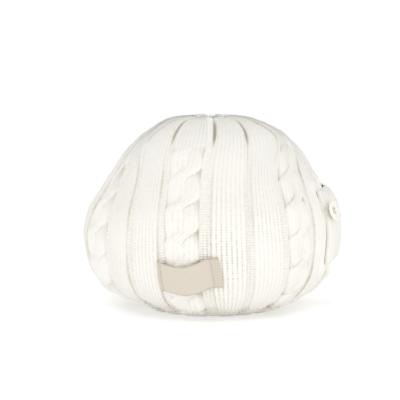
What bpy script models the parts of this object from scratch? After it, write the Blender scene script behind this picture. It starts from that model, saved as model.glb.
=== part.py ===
"""Knitted tea cosy: a hollow, dome-shaped cover in broad ribs and rope cables.

Two knitted panels meet in a seam on each side. On the left the seam opens into a pointed slit, on the
right into a long slot that a buttoned tab bridges. The ribs gather into pleats round a small hole on
top, and the cover stands on its hem. A bare woven label is sewn low on the front.

Z is up, the hem lies in the plane Z = 0, the slit is at -X, the slot at +X, and the front panel
faces -Y. Sizes below are in millimetres and degrees.
"""

import math

import bmesh
import bpy
import numpy as np

MM = 0.001

# Upright middle line of the dome: the tab makes the cover reach further on its side
AXIS_X = -1.6

# Outline of the cover from hem to top edge, measured over the crowns of the ribs
SECTIONS = (
    # radius, height
    (47.5, 0.0),
    (59.5, 5.3),
    (70.5, 13.3),
    (78.3, 23.0),
    (83.4, 38.0),
    (85.0, 54.0),
    (82.2, 69.0),
    (75.3, 80.0),
    (67.6, 91.0),
    (57.5, 105.0),
    (46.7, 114.6),
    (36.3, 120.0),
    (24.0, 124.2),
    (13.0, 125.6),
)

# Troughs between the ribs of one panel: azimuth from the panel's middle, at six heights
LINE_HEIGHTS = (0.0, 24.0, 75.0, 100.0, 114.0, 125.6)
RIB_LINES = (
    (-79.0, -78.0, -69.0, -76.0, -82.0, -84.0),
    (-57.0, -54.0, -53.0, -65.0, -74.0, -76.0),
    (-42.0, -39.0, -39.0, -47.0, -58.0, -66.0),
    (-25.0, -22.0, -23.0, -27.0, -31.0, -46.0),
    (3.0, -1.0, -2.0, -1.0, 2.0, 6.0),
    (21.0, 18.0, 17.0, 22.0, 29.0, 48.0),
    (37.0, 36.0, 34.0, 42.5, 61.0, 68.0),
    (52.0, 51.0, 51.0, 62.0, 75.0, 77.0),
    (70.0, 69.0, 69.0, 77.0, 84.0, 84.0),
)
# Ribs that are rope cables, and how far each rope lies from the middle of its rib
CABLES = {1: 0.0, 4: -1.3, 7: 0.0}

# Thickness of the knitting, and of the gathered layers under the top edge
WALL = 4.8
GATHER_WALL = 7.4
MOUTH_RADIUS = 43.0
TOP_HOLE_RADIUS = 10.6

# Troughs: depth, half width of the floor, and distance from the line at which the rib begins
TROUGH_DEPTH = 2.5
TROUGH_FLOOR = 2.0
TROUGH_TOP = 4.0
# Ribs narrower than this squeeze their troughs, whose depth stays under a share of the width
FULL_RIB = 14.0
DEPTH_SHARE = 0.42
# The least angle between a trough and the panel's edge
EDGE_BAND = 3.0
# The troughs deepen into pleats, and the ribs between them puff up, from one length to another
PLEAT_DEPTH = 5.0
PLEAT_START = 140.0
PLEAT_FULL = 160.0
RIB_PUFF = 0.45
PLEAT_PUFF = 2.0
EDGE_DROP = 0.5

# Slow swells: height, turns round the dome, and waves along the outline
SWELL = 0.35
SWELL_ROUND = 3.1
SWELL_ALONG, SWELL_BEAT, SWELL_SHIFT = 0.045, 0.031, 0.8

CABLE_FIRST, CABLE_PITCH, CABLE_CROSSING = 16.0, 20.3, 0.6
CABLE_SHARE = 0.76
CABLE_BASE = -1.6
CABLE_RISE = 4.2
CABLE_SINK = 3.4
CABLE_FLOOR = 0.6
STRAND_SWING = 0.5
STRAND_HALF = 0.55
# A cable grows out of plain stitches: their width beside it, and the lengths at both of its ends
CABLE_MARGIN, CABLE_FADE = 2.4, 2.0
CABLE_HEM, CABLE_LOW, CABLE_TOP = 2.0, 12.0, 144.0

SEAM_GAP = 0.3
SLIT_HALF, SLIT_LOW, SLIT_HIGH = 13.0, 20.0, 87.0
SLOT_HALF, SLOT_LOW, SLOT_HIGH = 7.5, 11.0, 98.0
SLOT_TAPER = 7.0
# Up to this length from the hem, the relief turns from level to square to the outline
HEM_TURN = 9.0

TAB_LOW, TAB_HIGH = 31.0, 80.5
TAB_FRONT, TAB_BACK = 62.0, 103.0
TAB_THICK, TAB_CLEAR = 2.1, 0.9
TAB_RIDGE, TAB_RIDGES = 0.2, 22.0
# The front edge draws back by this angle towards its two corners, along a steep power
TAB_CORNER, TAB_CORNER_POWER = 3.0, 4
# The tab pushes the panel in, takes off this share of its relief, and fades out past its edges
TAB_PRESS, PRESS_SHARE, PRESS_FADE = 1.4, 0.8, 6.0

LABEL_TOP, LABEL_DROP = 41.6, 18.6
LABEL_THICK = 1.0
LABEL_ACROSS = (
    # azimuth, height of the inner face over the crowns
    (-23.3, 1.0),
    (-17.5, 2.8),
    (-12.0, 3.9),
    (-6.5, 3.0),
    (-1.5, 0.9),
    (2.4, 1.3),
)
# The top edge bulges and sags over this share of the width, and its free end rises
LABEL_BULGE, LABEL_SAG, LABEL_SOFT, LABEL_RISE = 1.6, 2.4, 0.8, 3.0
# The free end leans outwards by this angle towards its lower corner
LABEL_LEAN = 2.4

BUTTON_AZIMUTH, BUTTON_HEIGHT = 65.8, 66.4
BUTTON_RADIUS, BUTTON_THICK = 6.5, 2.8
BUTTON_HOLE, BUTTON_HOLE_PITCH = 0.85, 2.6
BUTTON_PROFILE = (
    # share of the radius, share of the thickness
    (0.0, 0.0),
    (0.7, 0.0),
    (1.0, 0.35),
    (1.0, 0.75),
    (0.92, 1.0),
    (0.8, 1.0),
    (0.66, 0.72),
    (0.0, 0.66),
)

# Cutter of the space inside: its ends, and how it clears the mouth and the hole on top
CUTTER_LOW, CUTTER_HIGH = -6.0, 140.0
MOUTH_CLEAR, MOUTH_LIP, TOP_CLEAR, TOP_LIP = 1.5, 1.2, 1.0, 0.6

ROWS = 47
INSIDE_ROWS, INSIDE_STEPS = 15, 40
TAB_ROWS, TAB_COLUMNS = 13, 15
LABEL_ROWS, LABEL_COLUMNS = 7, 19
BUTTON_STEPS, HOLE_STEPS = 24, 10
RIB_COLUMNS = (0.0, 0.08, 0.17, 0.5, 0.83, 0.92)
CABLE_COLUMNS = (0.0, 0.08, 0.16, 0.25, 0.36, 0.46, 0.57, 0.68, 0.79, 0.91)
EDGE_COLUMNS = (0.0, 0.35, 0.8)


def smooth_through(keys, values, at):
    """The smooth curve through (keys, values): a cubic on each stretch, whose slope at each key is
    the mean of the slopes on both sides, weighted by the other side's length."""
    keys, values, at = (np.asarray(numbers, float) for numbers in (keys, values, at))
    steps = np.diff(keys)
    rises = np.diff(values) / steps
    inner = (rises[:-1] * steps[1:] + rises[1:] * steps[:-1]) / (steps[1:] + steps[:-1])
    slopes = np.concatenate(([rises[0]], inner, [rises[-1]]))
    k = np.clip(np.searchsorted(keys, at, side="right") - 1, 0, len(steps) - 1)
    t = np.clip((at - keys[k]) / steps[k], 0.0, 1.0)
    start = (2 * t**3 - 3 * t**2 + 1) * values[k] + (t**3 - 2 * t**2 + t) * steps[k] * slopes[k]
    end = (3 * t**2 - 2 * t**3) * values[k + 1] + (t**3 - t**2) * steps[k] * slopes[k + 1]
    return start + end


def ramp(low, high, at):
    """0 below low, 1 above high, with a soft start and end between them."""
    t = np.clip((at - low) / (high - low), 0.0, 1.0)
    return t * t * (3 - 2 * t)


SECTION_RADII, SECTION_HEIGHTS = np.array(SECTIONS).T
SECTION_STEPS = np.hypot(np.diff(SECTION_RADII), np.diff(SECTION_HEIGHTS))
SECTION_KEYS = np.concatenate(([0.0], np.cumsum(SECTION_STEPS)))
LENGTH = SECTION_KEYS[-1]


def outline(along):
    """Radius and height of the outline at a length along it from the hem."""
    radius = smooth_through(SECTION_KEYS, SECTION_RADII, along)
    return radius, smooth_through(SECTION_KEYS, SECTION_HEIGHTS, along)


def outline_normal(along):
    """Outward direction of the outline, as its radial and upward parts."""
    radius_a, height_a = outline(along - 0.5)
    radius_b, height_b = outline(along + 0.5)
    run = np.hypot(radius_b - radius_a, height_b - height_a)
    return (height_b - height_a) / run, (radius_a - radius_b) / run


def length_at(height):
    """Length along the outline at which it reaches a height."""
    steps = np.linspace(0.0, LENGTH, 400)
    return np.interp(height, outline(steps)[1], steps)


def seam_azimuth(radius, half_gap):
    """Azimuth of a panel's edge that stays half_gap away from the plane of the seams."""
    return 90.0 - np.degrees(np.arcsin(half_gap / radius))


def slit_half(height):
    """Half the width of the pointed slit on the left."""
    middle = (SLIT_LOW + SLIT_HIGH) / 2
    t = (height - middle) / (SLIT_HIGH - middle)
    return SEAM_GAP / 2 + SLIT_HALF * np.clip(1 - t * t, 0.0, 1.0)


def slot_half(height):
    """Half the width of the long slot on the right, which tapers at both ends."""
    opened = ramp(SLOT_LOW, SLOT_LOW + SLOT_TAPER, height)
    closed = ramp(SLOT_HIGH - SLOT_TAPER, SLOT_HIGH, height)
    return SEAM_GAP / 2 + SLOT_HALF * opened * (1 - closed)


def panel_lines(along, left_half, right_half):
    """Azimuths of a panel's left edge, nine troughs and right edge, one row for each length."""
    radius, height = outline(along)
    line_keys = length_at(np.array(LINE_HEIGHTS))
    troughs = [smooth_through(line_keys, line, along) for line in RIB_LINES]
    left = -seam_azimuth(radius, left_half(height))
    right = seam_azimuth(radius, right_half(height))
    lines = np.stack([left, *troughs, right], axis=1)
    lines[:, 1] = np.maximum(lines[:, 1], left + EDGE_BAND)
    lines[:, -2] = np.minimum(lines[:, -2], right - EDGE_BAND)
    return lines


def cable_height(across, along, width):
    """Height of a two-strand rope cable. Each strand runs up the left side, crosses to the right
    side, and is highest in the middle of its crossing. The nearest three strands are compared and
    the highest shows."""
    turn = (along - CABLE_FIRST) / CABLE_PITCH
    nearest = np.round(turn)
    height = np.full(across.shape, -TROUGH_DEPTH * CABLE_FLOOR)
    for step in (-1, 0, 1):
        t = turn - nearest - step
        centre = STRAND_SWING * np.sin(np.clip(t / CABLE_CROSSING, -1, 1) * math.pi / 2)
        side = (across / (width / 2) - centre) / STRAND_HALF
        round_top = CABLE_RISE * np.sqrt(np.clip(1 - side**2, 0, 1))
        height = np.maximum(height, CABLE_BASE + round_top - CABLE_SINK * t**2)
    return height


def relief(along, unit, share, lines):
    """Height of the knitting over the outline. `unit` is the number of the rib, `share` the place
    across it from 0 to 1. Troughs lie on the lines, and deepen into pleats under the top edge."""
    radius = outline(along)[0]
    widths = np.radians(np.diff(lines, axis=1)) * radius[:, None]
    width = widths[:, unit]
    pleat = ramp(PLEAT_START, PLEAT_FULL, along)
    depth = TROUGH_DEPTH + (PLEAT_DEPTH - TROUGH_DEPTH) * pleat
    height = RIB_PUFF * np.sin(math.pi * share) * (1 + PLEAT_PUFF * pleat)
    for line, distance in ((unit, share * width), (unit + 1, (1 - share) * width)):
        if line in (0, len(RIB_LINES) + 1):
            height = height - EDGE_DROP * (1 - ramp(0.0, TROUGH_TOP, distance))
            continue
        narrow = np.minimum(widths[:, line - 1], widths[:, line])
        line_depth = np.minimum(depth, DEPTH_SHARE * narrow)
        squeeze = np.minimum(1.0, narrow / FULL_RIB)
        wall = ramp(TROUGH_FLOOR * squeeze, TROUGH_TOP * squeeze, distance)
        height = height - line_depth * (1 - wall)
    if unit in CABLES:
        room = ramp(0.0, CABLE_FADE, np.minimum(share, 1 - share) * width - CABLE_MARGIN)
        shown = room * ramp(CABLE_HEM, CABLE_LOW, along) * (1 - ramp(CABLE_TOP, PLEAT_FULL, along))
        across = (share - 0.5) * width - CABLES[unit]
        height = height + shown * cable_height(across, along, width * CABLE_SHARE)
    return height


def unevenness(azimuth, along):
    """Slow, shallow swells of hand-pulled cloth."""
    round_wave = np.sin(np.radians(azimuth) * SWELL_ROUND + along * SWELL_ALONG)
    return SWELL * round_wave * np.sin(along * SWELL_BEAT + SWELL_SHIFT)


def surface_points(azimuth, along, lift):
    """Points of the front panel in millimetres, `lift` above the outline. Close to the hem the lift
    is level, so that the hem stays flat on what it stands on."""
    radius, height = outline(along)
    out, up = outline_normal(along)
    flat = ramp(0.0, HEM_TURN, along)
    out, up = 1 + (out - 1) * flat, up * flat
    radius = radius + lift * out
    angle = np.radians(azimuth)
    across = AXIS_X + radius * np.sin(angle)
    return np.stack([across, -radius * np.cos(angle), height + lift * up], axis=-1)


def columns_of(unit):
    if unit in CABLES:
        return CABLE_COLUMNS
    return EDGE_COLUMNS if unit == 0 else RIB_COLUMNS


def pressed(azimuth, along, tab_side, tab_edge):
    """1 where the tab lies over this panel and presses its ribs flat, 0 away from it."""
    height = outline(along)[1]
    under = ramp(tab_edge - PRESS_FADE, tab_edge, azimuth * tab_side)
    above = ramp(TAB_LOW - PRESS_FADE, TAB_LOW, height)
    return under * above * (1 - ramp(TAB_HIGH, TAB_HIGH + PRESS_FADE, height))


def panel_grid(left_half, right_half, tab_side, tab_edge):
    """Points of a panel's outer face, one row for each length from the hem to the top edge."""
    along = np.linspace(0.0, LENGTH, ROWS + 1)
    lines = panel_lines(along, left_half, right_half)
    places = [(unit, share) for unit in range(len(RIB_LINES) + 1) for share in columns_of(unit)]
    places.append((len(RIB_LINES), 1.0))
    grid = []
    for unit, share in places:
        azimuth = lines[:, unit] + share * (lines[:, unit + 1] - lines[:, unit])
        lift = relief(along, unit, share, lines) + unevenness(azimuth, along)
        press = pressed(azimuth, along, tab_side, tab_edge)
        lift = lift * (1 - PRESS_SHARE * press) - TAB_PRESS * press
        grid.append(surface_points(azimuth, along, lift))
    return np.stack(grid, axis=1)


def new_object(name, mesh, collection, material=None):
    obj = bpy.data.objects.new(name, mesh)
    collection.objects.link(obj)
    if material:
        mesh.materials.append(material)
    return obj


def mesh_from(name, bm):
    mesh = bpy.data.meshes.new(name)
    bm.to_mesh(mesh)
    bm.free()
    mesh.shade_smooth()
    mesh.set_sharp_from_angle(angle=math.radians(50))
    return mesh


def wedge_mesh(name, grid, seam_y):
    """A panel's outer face closed towards the upright middle line, as a solid half dome."""
    bm = bmesh.new()
    skin = [[bm.verts.new(point * MM) for point in row] for row in grid]
    middle = [bm.verts.new((AXIS_X * MM, seam_y * MM, row[0][2] * MM)) for row in grid]
    for low, high in zip(skin, skin[1:]):
        for k in range(len(low) - 1):
            bm.faces.new((low[k], low[k + 1], high[k + 1], high[k]))
    for j in range(len(grid) - 1):
        bm.faces.new((middle[j], skin[j][0], skin[j + 1][0], middle[j + 1]))
        bm.faces.new((skin[j][-1], middle[j], middle[j + 1], skin[j + 1][-1]))
    for row, centre in ((skin[0], middle[0]), (skin[-1], middle[-1])):
        for a, b in zip(row, row[1:]):
            bm.faces.new((centre, a, b))
    bmesh.ops.triangulate(bm, faces=[face for face in bm.faces if len(face.verts) > 3])
    bmesh.ops.recalc_face_normals(bm, faces=bm.faces)
    return mesh_from(name, bm)


def inner_profile():
    """Half section of the space inside: up through the mouth, along the wall's inner face and out
    through the hole on top."""
    along = np.linspace(0.0, LENGTH, INSIDE_ROWS)
    radius, height = outline(along)
    out, up = outline_normal(along)
    wall = WALL + (GATHER_WALL - WALL) * ramp(PLEAT_START - 15, PLEAT_FULL - 5, along)
    radius, height = radius - wall * out, height - wall * up
    kept = (radius > MOUTH_RADIUS + MOUTH_CLEAR) | (along > LENGTH / 2)
    kept &= radius > TOP_HOLE_RADIUS + TOP_CLEAR
    wall_points = list(zip(radius[kept], height[kept]))
    first, last = wall_points[0][1], wall_points[-1][1]
    mouth = [(0.0, CUTTER_LOW), (MOUTH_RADIUS, CUTTER_LOW), (MOUTH_RADIUS, first - MOUTH_LIP)]
    top = [(TOP_HOLE_RADIUS, last + TOP_LIP), (TOP_HOLE_RADIUS, CUTTER_HIGH), (0.0, CUTTER_HIGH)]
    return mouth + wall_points + top


def turned(name, profile, steps, collection, material=None):
    """A solid turned about the upright axis from (radius, height) points that run bottom to top."""
    mesh = bpy.data.meshes.new(name)
    points = [(radius * MM, 0.0, height * MM) for radius, height in reversed(profile)]
    mesh.from_pydata(points, [(k, k + 1) for k in range(len(points) - 1)], [])
    obj = new_object(name, mesh, collection, material)
    screw = obj.modifiers.new("Screw", "SCREW")
    screw.steps = screw.render_steps = steps
    screw.use_merge_vertices = True
    screw.merge_threshold = 0.00001
    screw.use_smooth_shade = True
    return obj


def cut(obj, cutter):
    boolean = obj.modifiers.new("Cut", "BOOLEAN")
    boolean.operation = "DIFFERENCE"
    boolean.solver = "EXACT"
    boolean.object = cutter
    cutter.hide_render = True
    cutter.display_type = "WIRE"


def sheet_object(name, grid, thickness, collection, material):
    """An open grid of points given its thickness on the outer side."""
    bm = bmesh.new()
    verts = [[bm.verts.new(point * MM) for point in row] for row in grid]
    for low, high in zip(verts, verts[1:]):
        for k in range(len(low) - 1):
            bm.faces.new((low[k], low[k + 1], high[k + 1], high[k]))
    obj = new_object(name, mesh_from(name, bm), collection, material)
    solidify = obj.modifiers.new("Thickness", "SOLIDIFY")
    solidify.thickness = thickness * MM
    solidify.offset = 1.0
    return obj


def front_panel(collection, material, inside):
    grid = panel_grid(slit_half, slot_half, 1, TAB_FRONT)
    mesh = wedge_mesh("front_panel", grid, -SEAM_GAP / 2)
    cut(new_object("front_panel", mesh, collection, material), inside)


def back_panel(collection, material, inside):
    """The same knitted panel turned half round, so that its edges meet the front panel's."""
    grid = panel_grid(slot_half, slit_half, -1, 180 - TAB_BACK) - (AXIS_X, 0.0, 0.0)
    grid = grid * (-1.0, -1.0, 1.0) + (AXIS_X, 0.0, 0.0)
    mesh = wedge_mesh("back_panel", grid, SEAM_GAP / 2)
    cut(new_object("back_panel", mesh, collection, material), inside)


def button_tab(collection, material):
    """The knitted tab sewn to the back panel's edge, which laps over the front panel's."""
    along = np.linspace(length_at(TAB_LOW), length_at(TAB_HIGH), TAB_ROWS)
    share = np.linspace(0.0, 1.0, TAB_COLUMNS)
    middle = (along[0] + along[-1]) / 2
    rounding = np.abs((along - middle) / (along[-1] - middle)) ** TAB_CORNER_POWER
    front = TAB_FRONT + TAB_CORNER * rounding
    azimuth = front[:, None] + share[None, :] * (TAB_BACK - front)[:, None]
    ridge = TAB_RIDGE * np.sin(np.radians(azimuth) * TAB_RIDGES)
    lift = TAB_CLEAR - TAB_PRESS + TAB_RIDGE + ridge
    grid = surface_points(azimuth, np.broadcast_to(along[:, None], azimuth.shape), lift)
    sheet_object("button_tab", grid, TAB_THICK, collection, material)


def woven_label(collection, material):
    """The label over the middle cable: it dips into the trough on each side, and its top edge sags
    and stands off the knitting."""
    across = np.linspace(LABEL_ACROSS[0][0], LABEL_ACROSS[-1][0], LABEL_COLUMNS)
    keys, lifts = np.array(LABEL_ACROSS).T
    base = smooth_through(keys, lifts, across)
    share = (across - across[0]) / (across[-1] - across[0])
    soft = np.sin(math.pi * np.clip(share / LABEL_SOFT, 0.0, 1.0))
    down = np.linspace(0.0, 1.0, LABEL_ROWS)
    top = length_at(LABEL_TOP) - LABEL_SAG * soft + LABEL_RISE * share**2
    along = top[None, :] - down[:, None] * LABEL_DROP
    lift = base[None, :] + LABEL_BULGE * soft[None, :] * (1 - down)[:, None] ** 2
    azimuth = across[None, :] + LABEL_LEAN * share[None, :] * down[:, None]
    grid = surface_points(azimuth, along, lift)
    sheet_object("woven_label", grid[::-1], LABEL_THICK, collection, material)


def button(collection, cutters, material):
    """A round, four-hole button with a raised rim, lying on the tab close to its front edge."""
    profile = [(share * BUTTON_RADIUS, level * BUTTON_THICK) for share, level in BUTTON_PROFILE]
    disc = turned("button", profile, BUTTON_STEPS, collection, material)
    along = length_at(BUTTON_HEIGHT)
    lift = TAB_CLEAR - TAB_PRESS + 2 * TAB_RIDGE + TAB_THICK + SEAM_GAP
    centre = surface_points(np.array(BUTTON_AZIMUTH), np.array(along), lift)
    out, up = outline_normal(along)
    holder = bpy.data.objects.new("button_place", None)
    collection.objects.link(holder)
    holder.location = centre * MM
    holder.rotation_euler = (0.0, math.atan2(out, up), math.radians(BUTTON_AZIMUTH - 90))
    disc.parent = holder
    below, above = -BUTTON_THICK, 2 * BUTTON_THICK
    bore = [(0.0, below), (BUTTON_HOLE, below), (BUTTON_HOLE, above), (0.0, above)]
    shift = BUTTON_HOLE_PITCH / 2 * MM
    for place in ((-shift, -shift), (shift, -shift), (-shift, shift), (shift, shift)):
        hole = turned("button_hole", bore, HOLE_STEPS, cutters)
        hole.location = (*place, 0.0)
        hole.parent = holder
        cut(disc, hole)


def material_of(name, colour, roughness):
    material = bpy.data.materials.new(name)
    material.use_nodes = True
    shader = material.node_tree.nodes["Principled BSDF"]
    shader.inputs["Base Color"].default_value = (*colour, 1.0)
    shader.inputs["Roughness"].default_value = roughness
    shader.inputs["Metallic"].default_value = 0.0
    return material


def new_collection(name):
    collection = bpy.data.collections.new(name)
    bpy.context.scene.collection.children.link(collection)
    return collection


def main():
    for obj in list(bpy.data.objects):
        bpy.data.objects.remove(obj)
    cosy = new_collection("tea_cosy")
    cutters = new_collection("cutters")
    wool = material_of("cream_knit", (0.83, 0.79, 0.70), 0.95)
    tape = material_of("woven_tape", (0.56, 0.47, 0.35), 0.9)
    pearl = material_of("button_shell", (0.86, 0.83, 0.76), 0.25)
    inside = turned("space_inside", inner_profile(), INSIDE_STEPS, cutters)
    inside.location = (AXIS_X * MM, 0.0, 0.0)
    front_panel(cosy, wool, inside)
    back_panel(cosy, wool, inside)
    button_tab(cosy, wool)
    woven_label(cosy, tape)
    button(cosy, cutters, pearl)


main()
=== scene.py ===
"""Looks of the knitted tea cosy: two panels in broad ribs and rope cables, knitted stitch by stitch,
with a buttoned tab, sewn seams and a bare woven label.

Z is up, the slit is at -X, the buttoned slot at +X, and the front panel faces -Y. Sizes are in
millimetres and degrees until a mesh is made, and its points are then in metres. A length runs up
the outline from the hem, and an azimuth runs to the right from the middle of a panel.
"""

import math

import bpy
import numpy as np
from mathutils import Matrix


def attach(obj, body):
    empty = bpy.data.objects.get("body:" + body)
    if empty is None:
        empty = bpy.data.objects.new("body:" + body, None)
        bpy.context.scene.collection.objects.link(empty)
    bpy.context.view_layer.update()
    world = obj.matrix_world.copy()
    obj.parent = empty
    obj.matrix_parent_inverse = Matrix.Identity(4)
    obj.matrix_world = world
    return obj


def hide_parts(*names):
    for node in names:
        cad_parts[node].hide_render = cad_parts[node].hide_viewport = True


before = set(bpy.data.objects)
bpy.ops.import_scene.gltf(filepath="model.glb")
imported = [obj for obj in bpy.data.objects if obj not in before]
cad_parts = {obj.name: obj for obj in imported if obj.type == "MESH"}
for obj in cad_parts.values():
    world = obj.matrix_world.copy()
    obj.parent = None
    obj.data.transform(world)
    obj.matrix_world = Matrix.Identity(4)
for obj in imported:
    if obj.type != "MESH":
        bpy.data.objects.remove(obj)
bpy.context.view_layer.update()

MM = 0.001
# The dome's upright axis is off the middle, because the tab makes one side wider
AXIS_X = -1.6

# Outline of the cover from hem to top edge, measured over the crowns of the ribs
SECTIONS = (
    # radius, height
    (47.5, 0.0),
    (59.5, 5.3),
    (70.5, 13.3),
    (78.3, 23.0),
    (83.4, 38.0),
    (85.0, 54.0),
    (82.2, 69.0),
    (75.3, 80.0),
    (67.6, 91.0),
    (57.5, 105.0),
    (46.7, 114.6),
    (36.3, 120.0),
    (24.0, 124.2),
    (13.0, 125.6),
)

# Troughs between the ribs of one panel: azimuth at six heights
LINE_HEIGHTS = (0.0, 24.0, 75.0, 100.0, 114.0, 125.6)
RIB_LINES = (
    (-79.0, -78.0, -69.0, -76.0, -82.0, -84.0),
    (-57.0, -54.0, -53.0, -65.0, -74.0, -76.0),
    (-42.0, -39.0, -39.0, -47.0, -58.0, -66.0),
    (-25.0, -22.0, -23.0, -27.0, -31.0, -46.0),
    (3.0, -1.0, -2.0, -1.0, 2.0, 6.0),
    (21.0, 18.0, 17.0, 22.0, 29.0, 48.0),
    (37.0, 36.0, 34.0, 42.5, 61.0, 68.0),
    (52.0, 51.0, 51.0, 62.0, 75.0, 77.0),
    (70.0, 69.0, 69.0, 77.0, 84.0, 84.0),
)
# Knit wales of each rib, and purl wales on the left and right side of each trough
RIB_WALES = (6, 8, 7, 7, 8, 7, 7, 8, 7, 6)
PURL_WALES = ((1, 1), (1, 1), (1, 1), (1, 1), (2, 1), (1, 1), (1, 1), (1, 1), (1, 1))
# First rib of each piece of a panel, and the end of the last piece
PIECE_RIBS = (0, 3, 6, len(RIB_WALES))
# Ribs with a cable: side whose valleys are sharp, and share of the full height
CABLES = {1: (1, 0.7), 4: (1, 1.0), 7: (-1, 1.0)}

# Pitch of the rows of stitches, of a wale on the flat cloth, and width of a wale of purl
ROW_PITCH, WALE_PITCH, PURL_WIDTH = 1.73, 2.6, 2.6
# Steps of the grid across a wale and along a row
WALE_STEPS, ROW_STEPS = ((5, 4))
# Wales are counted from this many times the number of their rib, so that chance differs there
RIB_COUNT = 20
# Small steps in wales that put a stitch that is on a line on one side of it
NUDGE, INSIDE_NUDGE = 1e-6, 1e-4

# Thickness of the cloth, painted shade on its inner face, and turn of that face over the rim
CLOTH, INSIDE_SHADE, INNER_TURN = 2.6, 0.25, 150.0
# Length over which the cloth stands out level at the hem, and gap between the two panels
HEM_TURN, SEAM_GAP = 9.0, 0.3

# Troughs: depth, softness of their walls, and most of a rib's width that they are deep
TROUGH_DEPTH, TROUGH_WALL, DEPTH_SHARE = 1.15, 0.6, 0.42
# Narrower ribs than this have narrower purl, and troughs keep this angle from a panel's edges
FULL_RIB, EDGE_BAND = 14.0, 3.0
# Rise of a rib's middle, and its growth in the pleats
RIB_PUFF, PLEAT_PUFF = 0.5, 1.0
# Pleats: depth, and lengths where they start, are full and fade
PLEAT_DEPTH, PLEAT_START, PLEAT_FULL, PLEAT_END = 2.5, 136.0, 150.0, 161.0
# Shares of the pleats and of the depth of troughs that are left at the rim
RIM_PLEAT, RIM_DEPTH = 0.15, 0.4
# Floor of a pleat, length where troughs begin to close to it, darkness and softness of the shade painted
# in its slot
PLEAT_FLOOR, PLEAT_CLOSE, PLEAT_DARK, PLEAT_SHADE = 0.75, 116.0, 0.72, 1.0

# Rise of knit and purl stitches, and its spread from stitch to stitch
KNIT_RISE, PURL_RISE, LOOSE = 0.75, 0.95, 0.35
# V stitch: rise of a leg in rows, powers that round leg and loop, height of its middle and loop
LEG_SLANT, LEG_POWER, LOOP_POWER, LEG_MIDDLE, LOOP_HEIGHT = 0.85, 2.4, 2.2, 0.5, 0.55
# Purl bump: wave in rows, and the middle and swing of its height
PURL_WAVE, PURL_MIDDLE, PURL_SWING = 0.13, 0.8, 0.2
# Holes between wales, where dots of shade are painted: place in the row, width in wales, share that is a
# line, power of the dots
HOLE_ROW, HOLE_WIDTH, HOLE_LINE, DOT_POWER = 0.5, 0.14, 0.15, 1.5
# Painted shade in holes, in holes pulled open, in shut purl and in purl pulled open
HOLE_DARK, HOLE_PULLED, PURL_DARK, PURL_OPEN = 0.34, 0.8, 0.42, 1.7
# Least painted shade of a hole as a share, its spread from hole to hole, and start of their chance
HOLE_LEAST, HOLE_SPREAD, HOLE_CHANCE = 0.45, 1.1, 3
# Slow shade over the cloth: radians per millimetre, degree, millimetre and rib, and its share
SHADE_WAVE, SHADE_SHARE = (0.11, 0.07, 0.047, 2.3), 0.5
# Stitches are pulled open beside the middle cable: azimuth, length, and reach in both
OPEN_PLACE, OPEN_REACH = (1.5, 50.0), (11.0, 28.0)

# Slow swells of the cloth
SWELLS = (
    # height, radians per radian round and per millimetre along, the same for a second wave, start
    (0.35, 3.1, 0.045, 0.0, 0.031, 0.8),
    (0.16, 11.0, 0.12, 5.0, 0.17, 0.0),
)
# The slit's side draws in: azimuth, reach and depth, and lengths between which it starts and ends
SHOULDER_SIDE, SHOULDER_REACH, SHOULDER_IN = -90.0, 38.0, 2.7
SHOULDER_FROM, SHOULDER_TO = (66.0, 94.0), (146.0, 166.0)
# The hem draws in: depth all round and more on the slit's side, and lengths where that ends
FOOT_IN, FOOT_SIDE, FOOT_TO = 2.0, 5.5, (4.0, 30.0)

# Grooves along the edges of each rib: strength at its left and right, width, depth and beat
EDGE_LEFT = np.array([0.0, 0.3, 0.4, 0.3, 0.3, 0.35, 0.25, 0.3, 1.0, 0.7])
EDGE_RIGHT = np.array([0.8, 0.3, 1.0, 0.8, 0.3, 0.15, 0.15, 0.5, 0.5, 0.0])
EDGE_WIDTH, EDGE_DEPTH, EDGE_BEAT = 0.6, 0.5, 0.45
# Shade painted in the grooves, and its share without the slow shade
CREASE_DARK, CREASE_SHARE = 0.75, 0.8

# The cast-on edge: its length and softness, pitch, slant and rise of its knots, and their gaps
HEM_BAND, HEM_SOFT, HEM_ROW, HEM_SLANT, HEM_RISE = 18.0, 1.0, 0.62, 0.3, 1.5
# Painted shade: darkness of the gaps between the hem's knots, and extra shade painted in them along the
# hem band, which lies in shade under the dome
HEM_HOLES, HEM_DARK = 1.0, 0.45

# Cables: length of the first crossing, their pitch, and half the share of it that one takes
CABLE_FIRST, CABLE_PITCH, CABLE_CROSSING = 14.0, 20.3, 0.32
# Lift and rise of a strand, and how far it sinks before and dives after its crossing
CABLE_BASE, CABLE_RISE, CABLE_SINK, CABLE_DIVE = -0.1, 3.4, 1.2, 2.0
# Valleys between strands: filling, width of the groove, least sharpness, early start
CABLE_FILL, CABLE_GROOVE, CABLE_SOFT, CABLE_EARLY = 4.2, 1.0, 0.04, 0.1
# Shade painted along a cable's foot, height over which it fades, and shade painted in its holes and on its
# floor
CABLE_EDGE, CABLE_FOOT, CABLE_HOLES, CABLE_FLOOR = 0.95, 2.0, 0.6, 0.5
# A strand: swing and half width as shares of the cable's half, power of its round top, wales
STRAND_SWING, STRAND_HALF, STRAND_ROUND, STRAND_WALES = 0.47, 0.6, 2.3, 4
# Lengths at which cables start, are full, begin to fade and end
CABLE_HEM, CABLE_LOW, CABLE_TOP, CABLE_END = 2.0, 12.0, 128.0, 141.0

# Slit and slot: half width, lowest and highest point, and taper of the slot's ends
SLIT_HALF, SLIT_LOW, SLIT_HIGH = 13.0, 20.0, 87.0
SLOT_HALF, SLOT_LOW, SLOT_HIGH, SLOT_TAPER = 7.5, 11.0, 98.0, 7.0

# Tab: lowest and highest point, azimuths of both edges, wales, rows, and start of their chance
TAB_LOW, TAB_HIGH, TAB_FRONT, TAB_BACK = 31.0, 80.5, 62.0, 103.0
TAB_WALES, TAB_ROWS, TAB_CHANCE = 23, 30, 0.5
# Thickness of the tab, its height over the crowns, its ridges, and how its front corners draw back
TAB_THICK, TAB_CLEAR, TAB_RIDGE, TAB_CORNER, TAB_CORNER_POWER = 2.1, 0.9, 0.2, 3.0, 4
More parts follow.
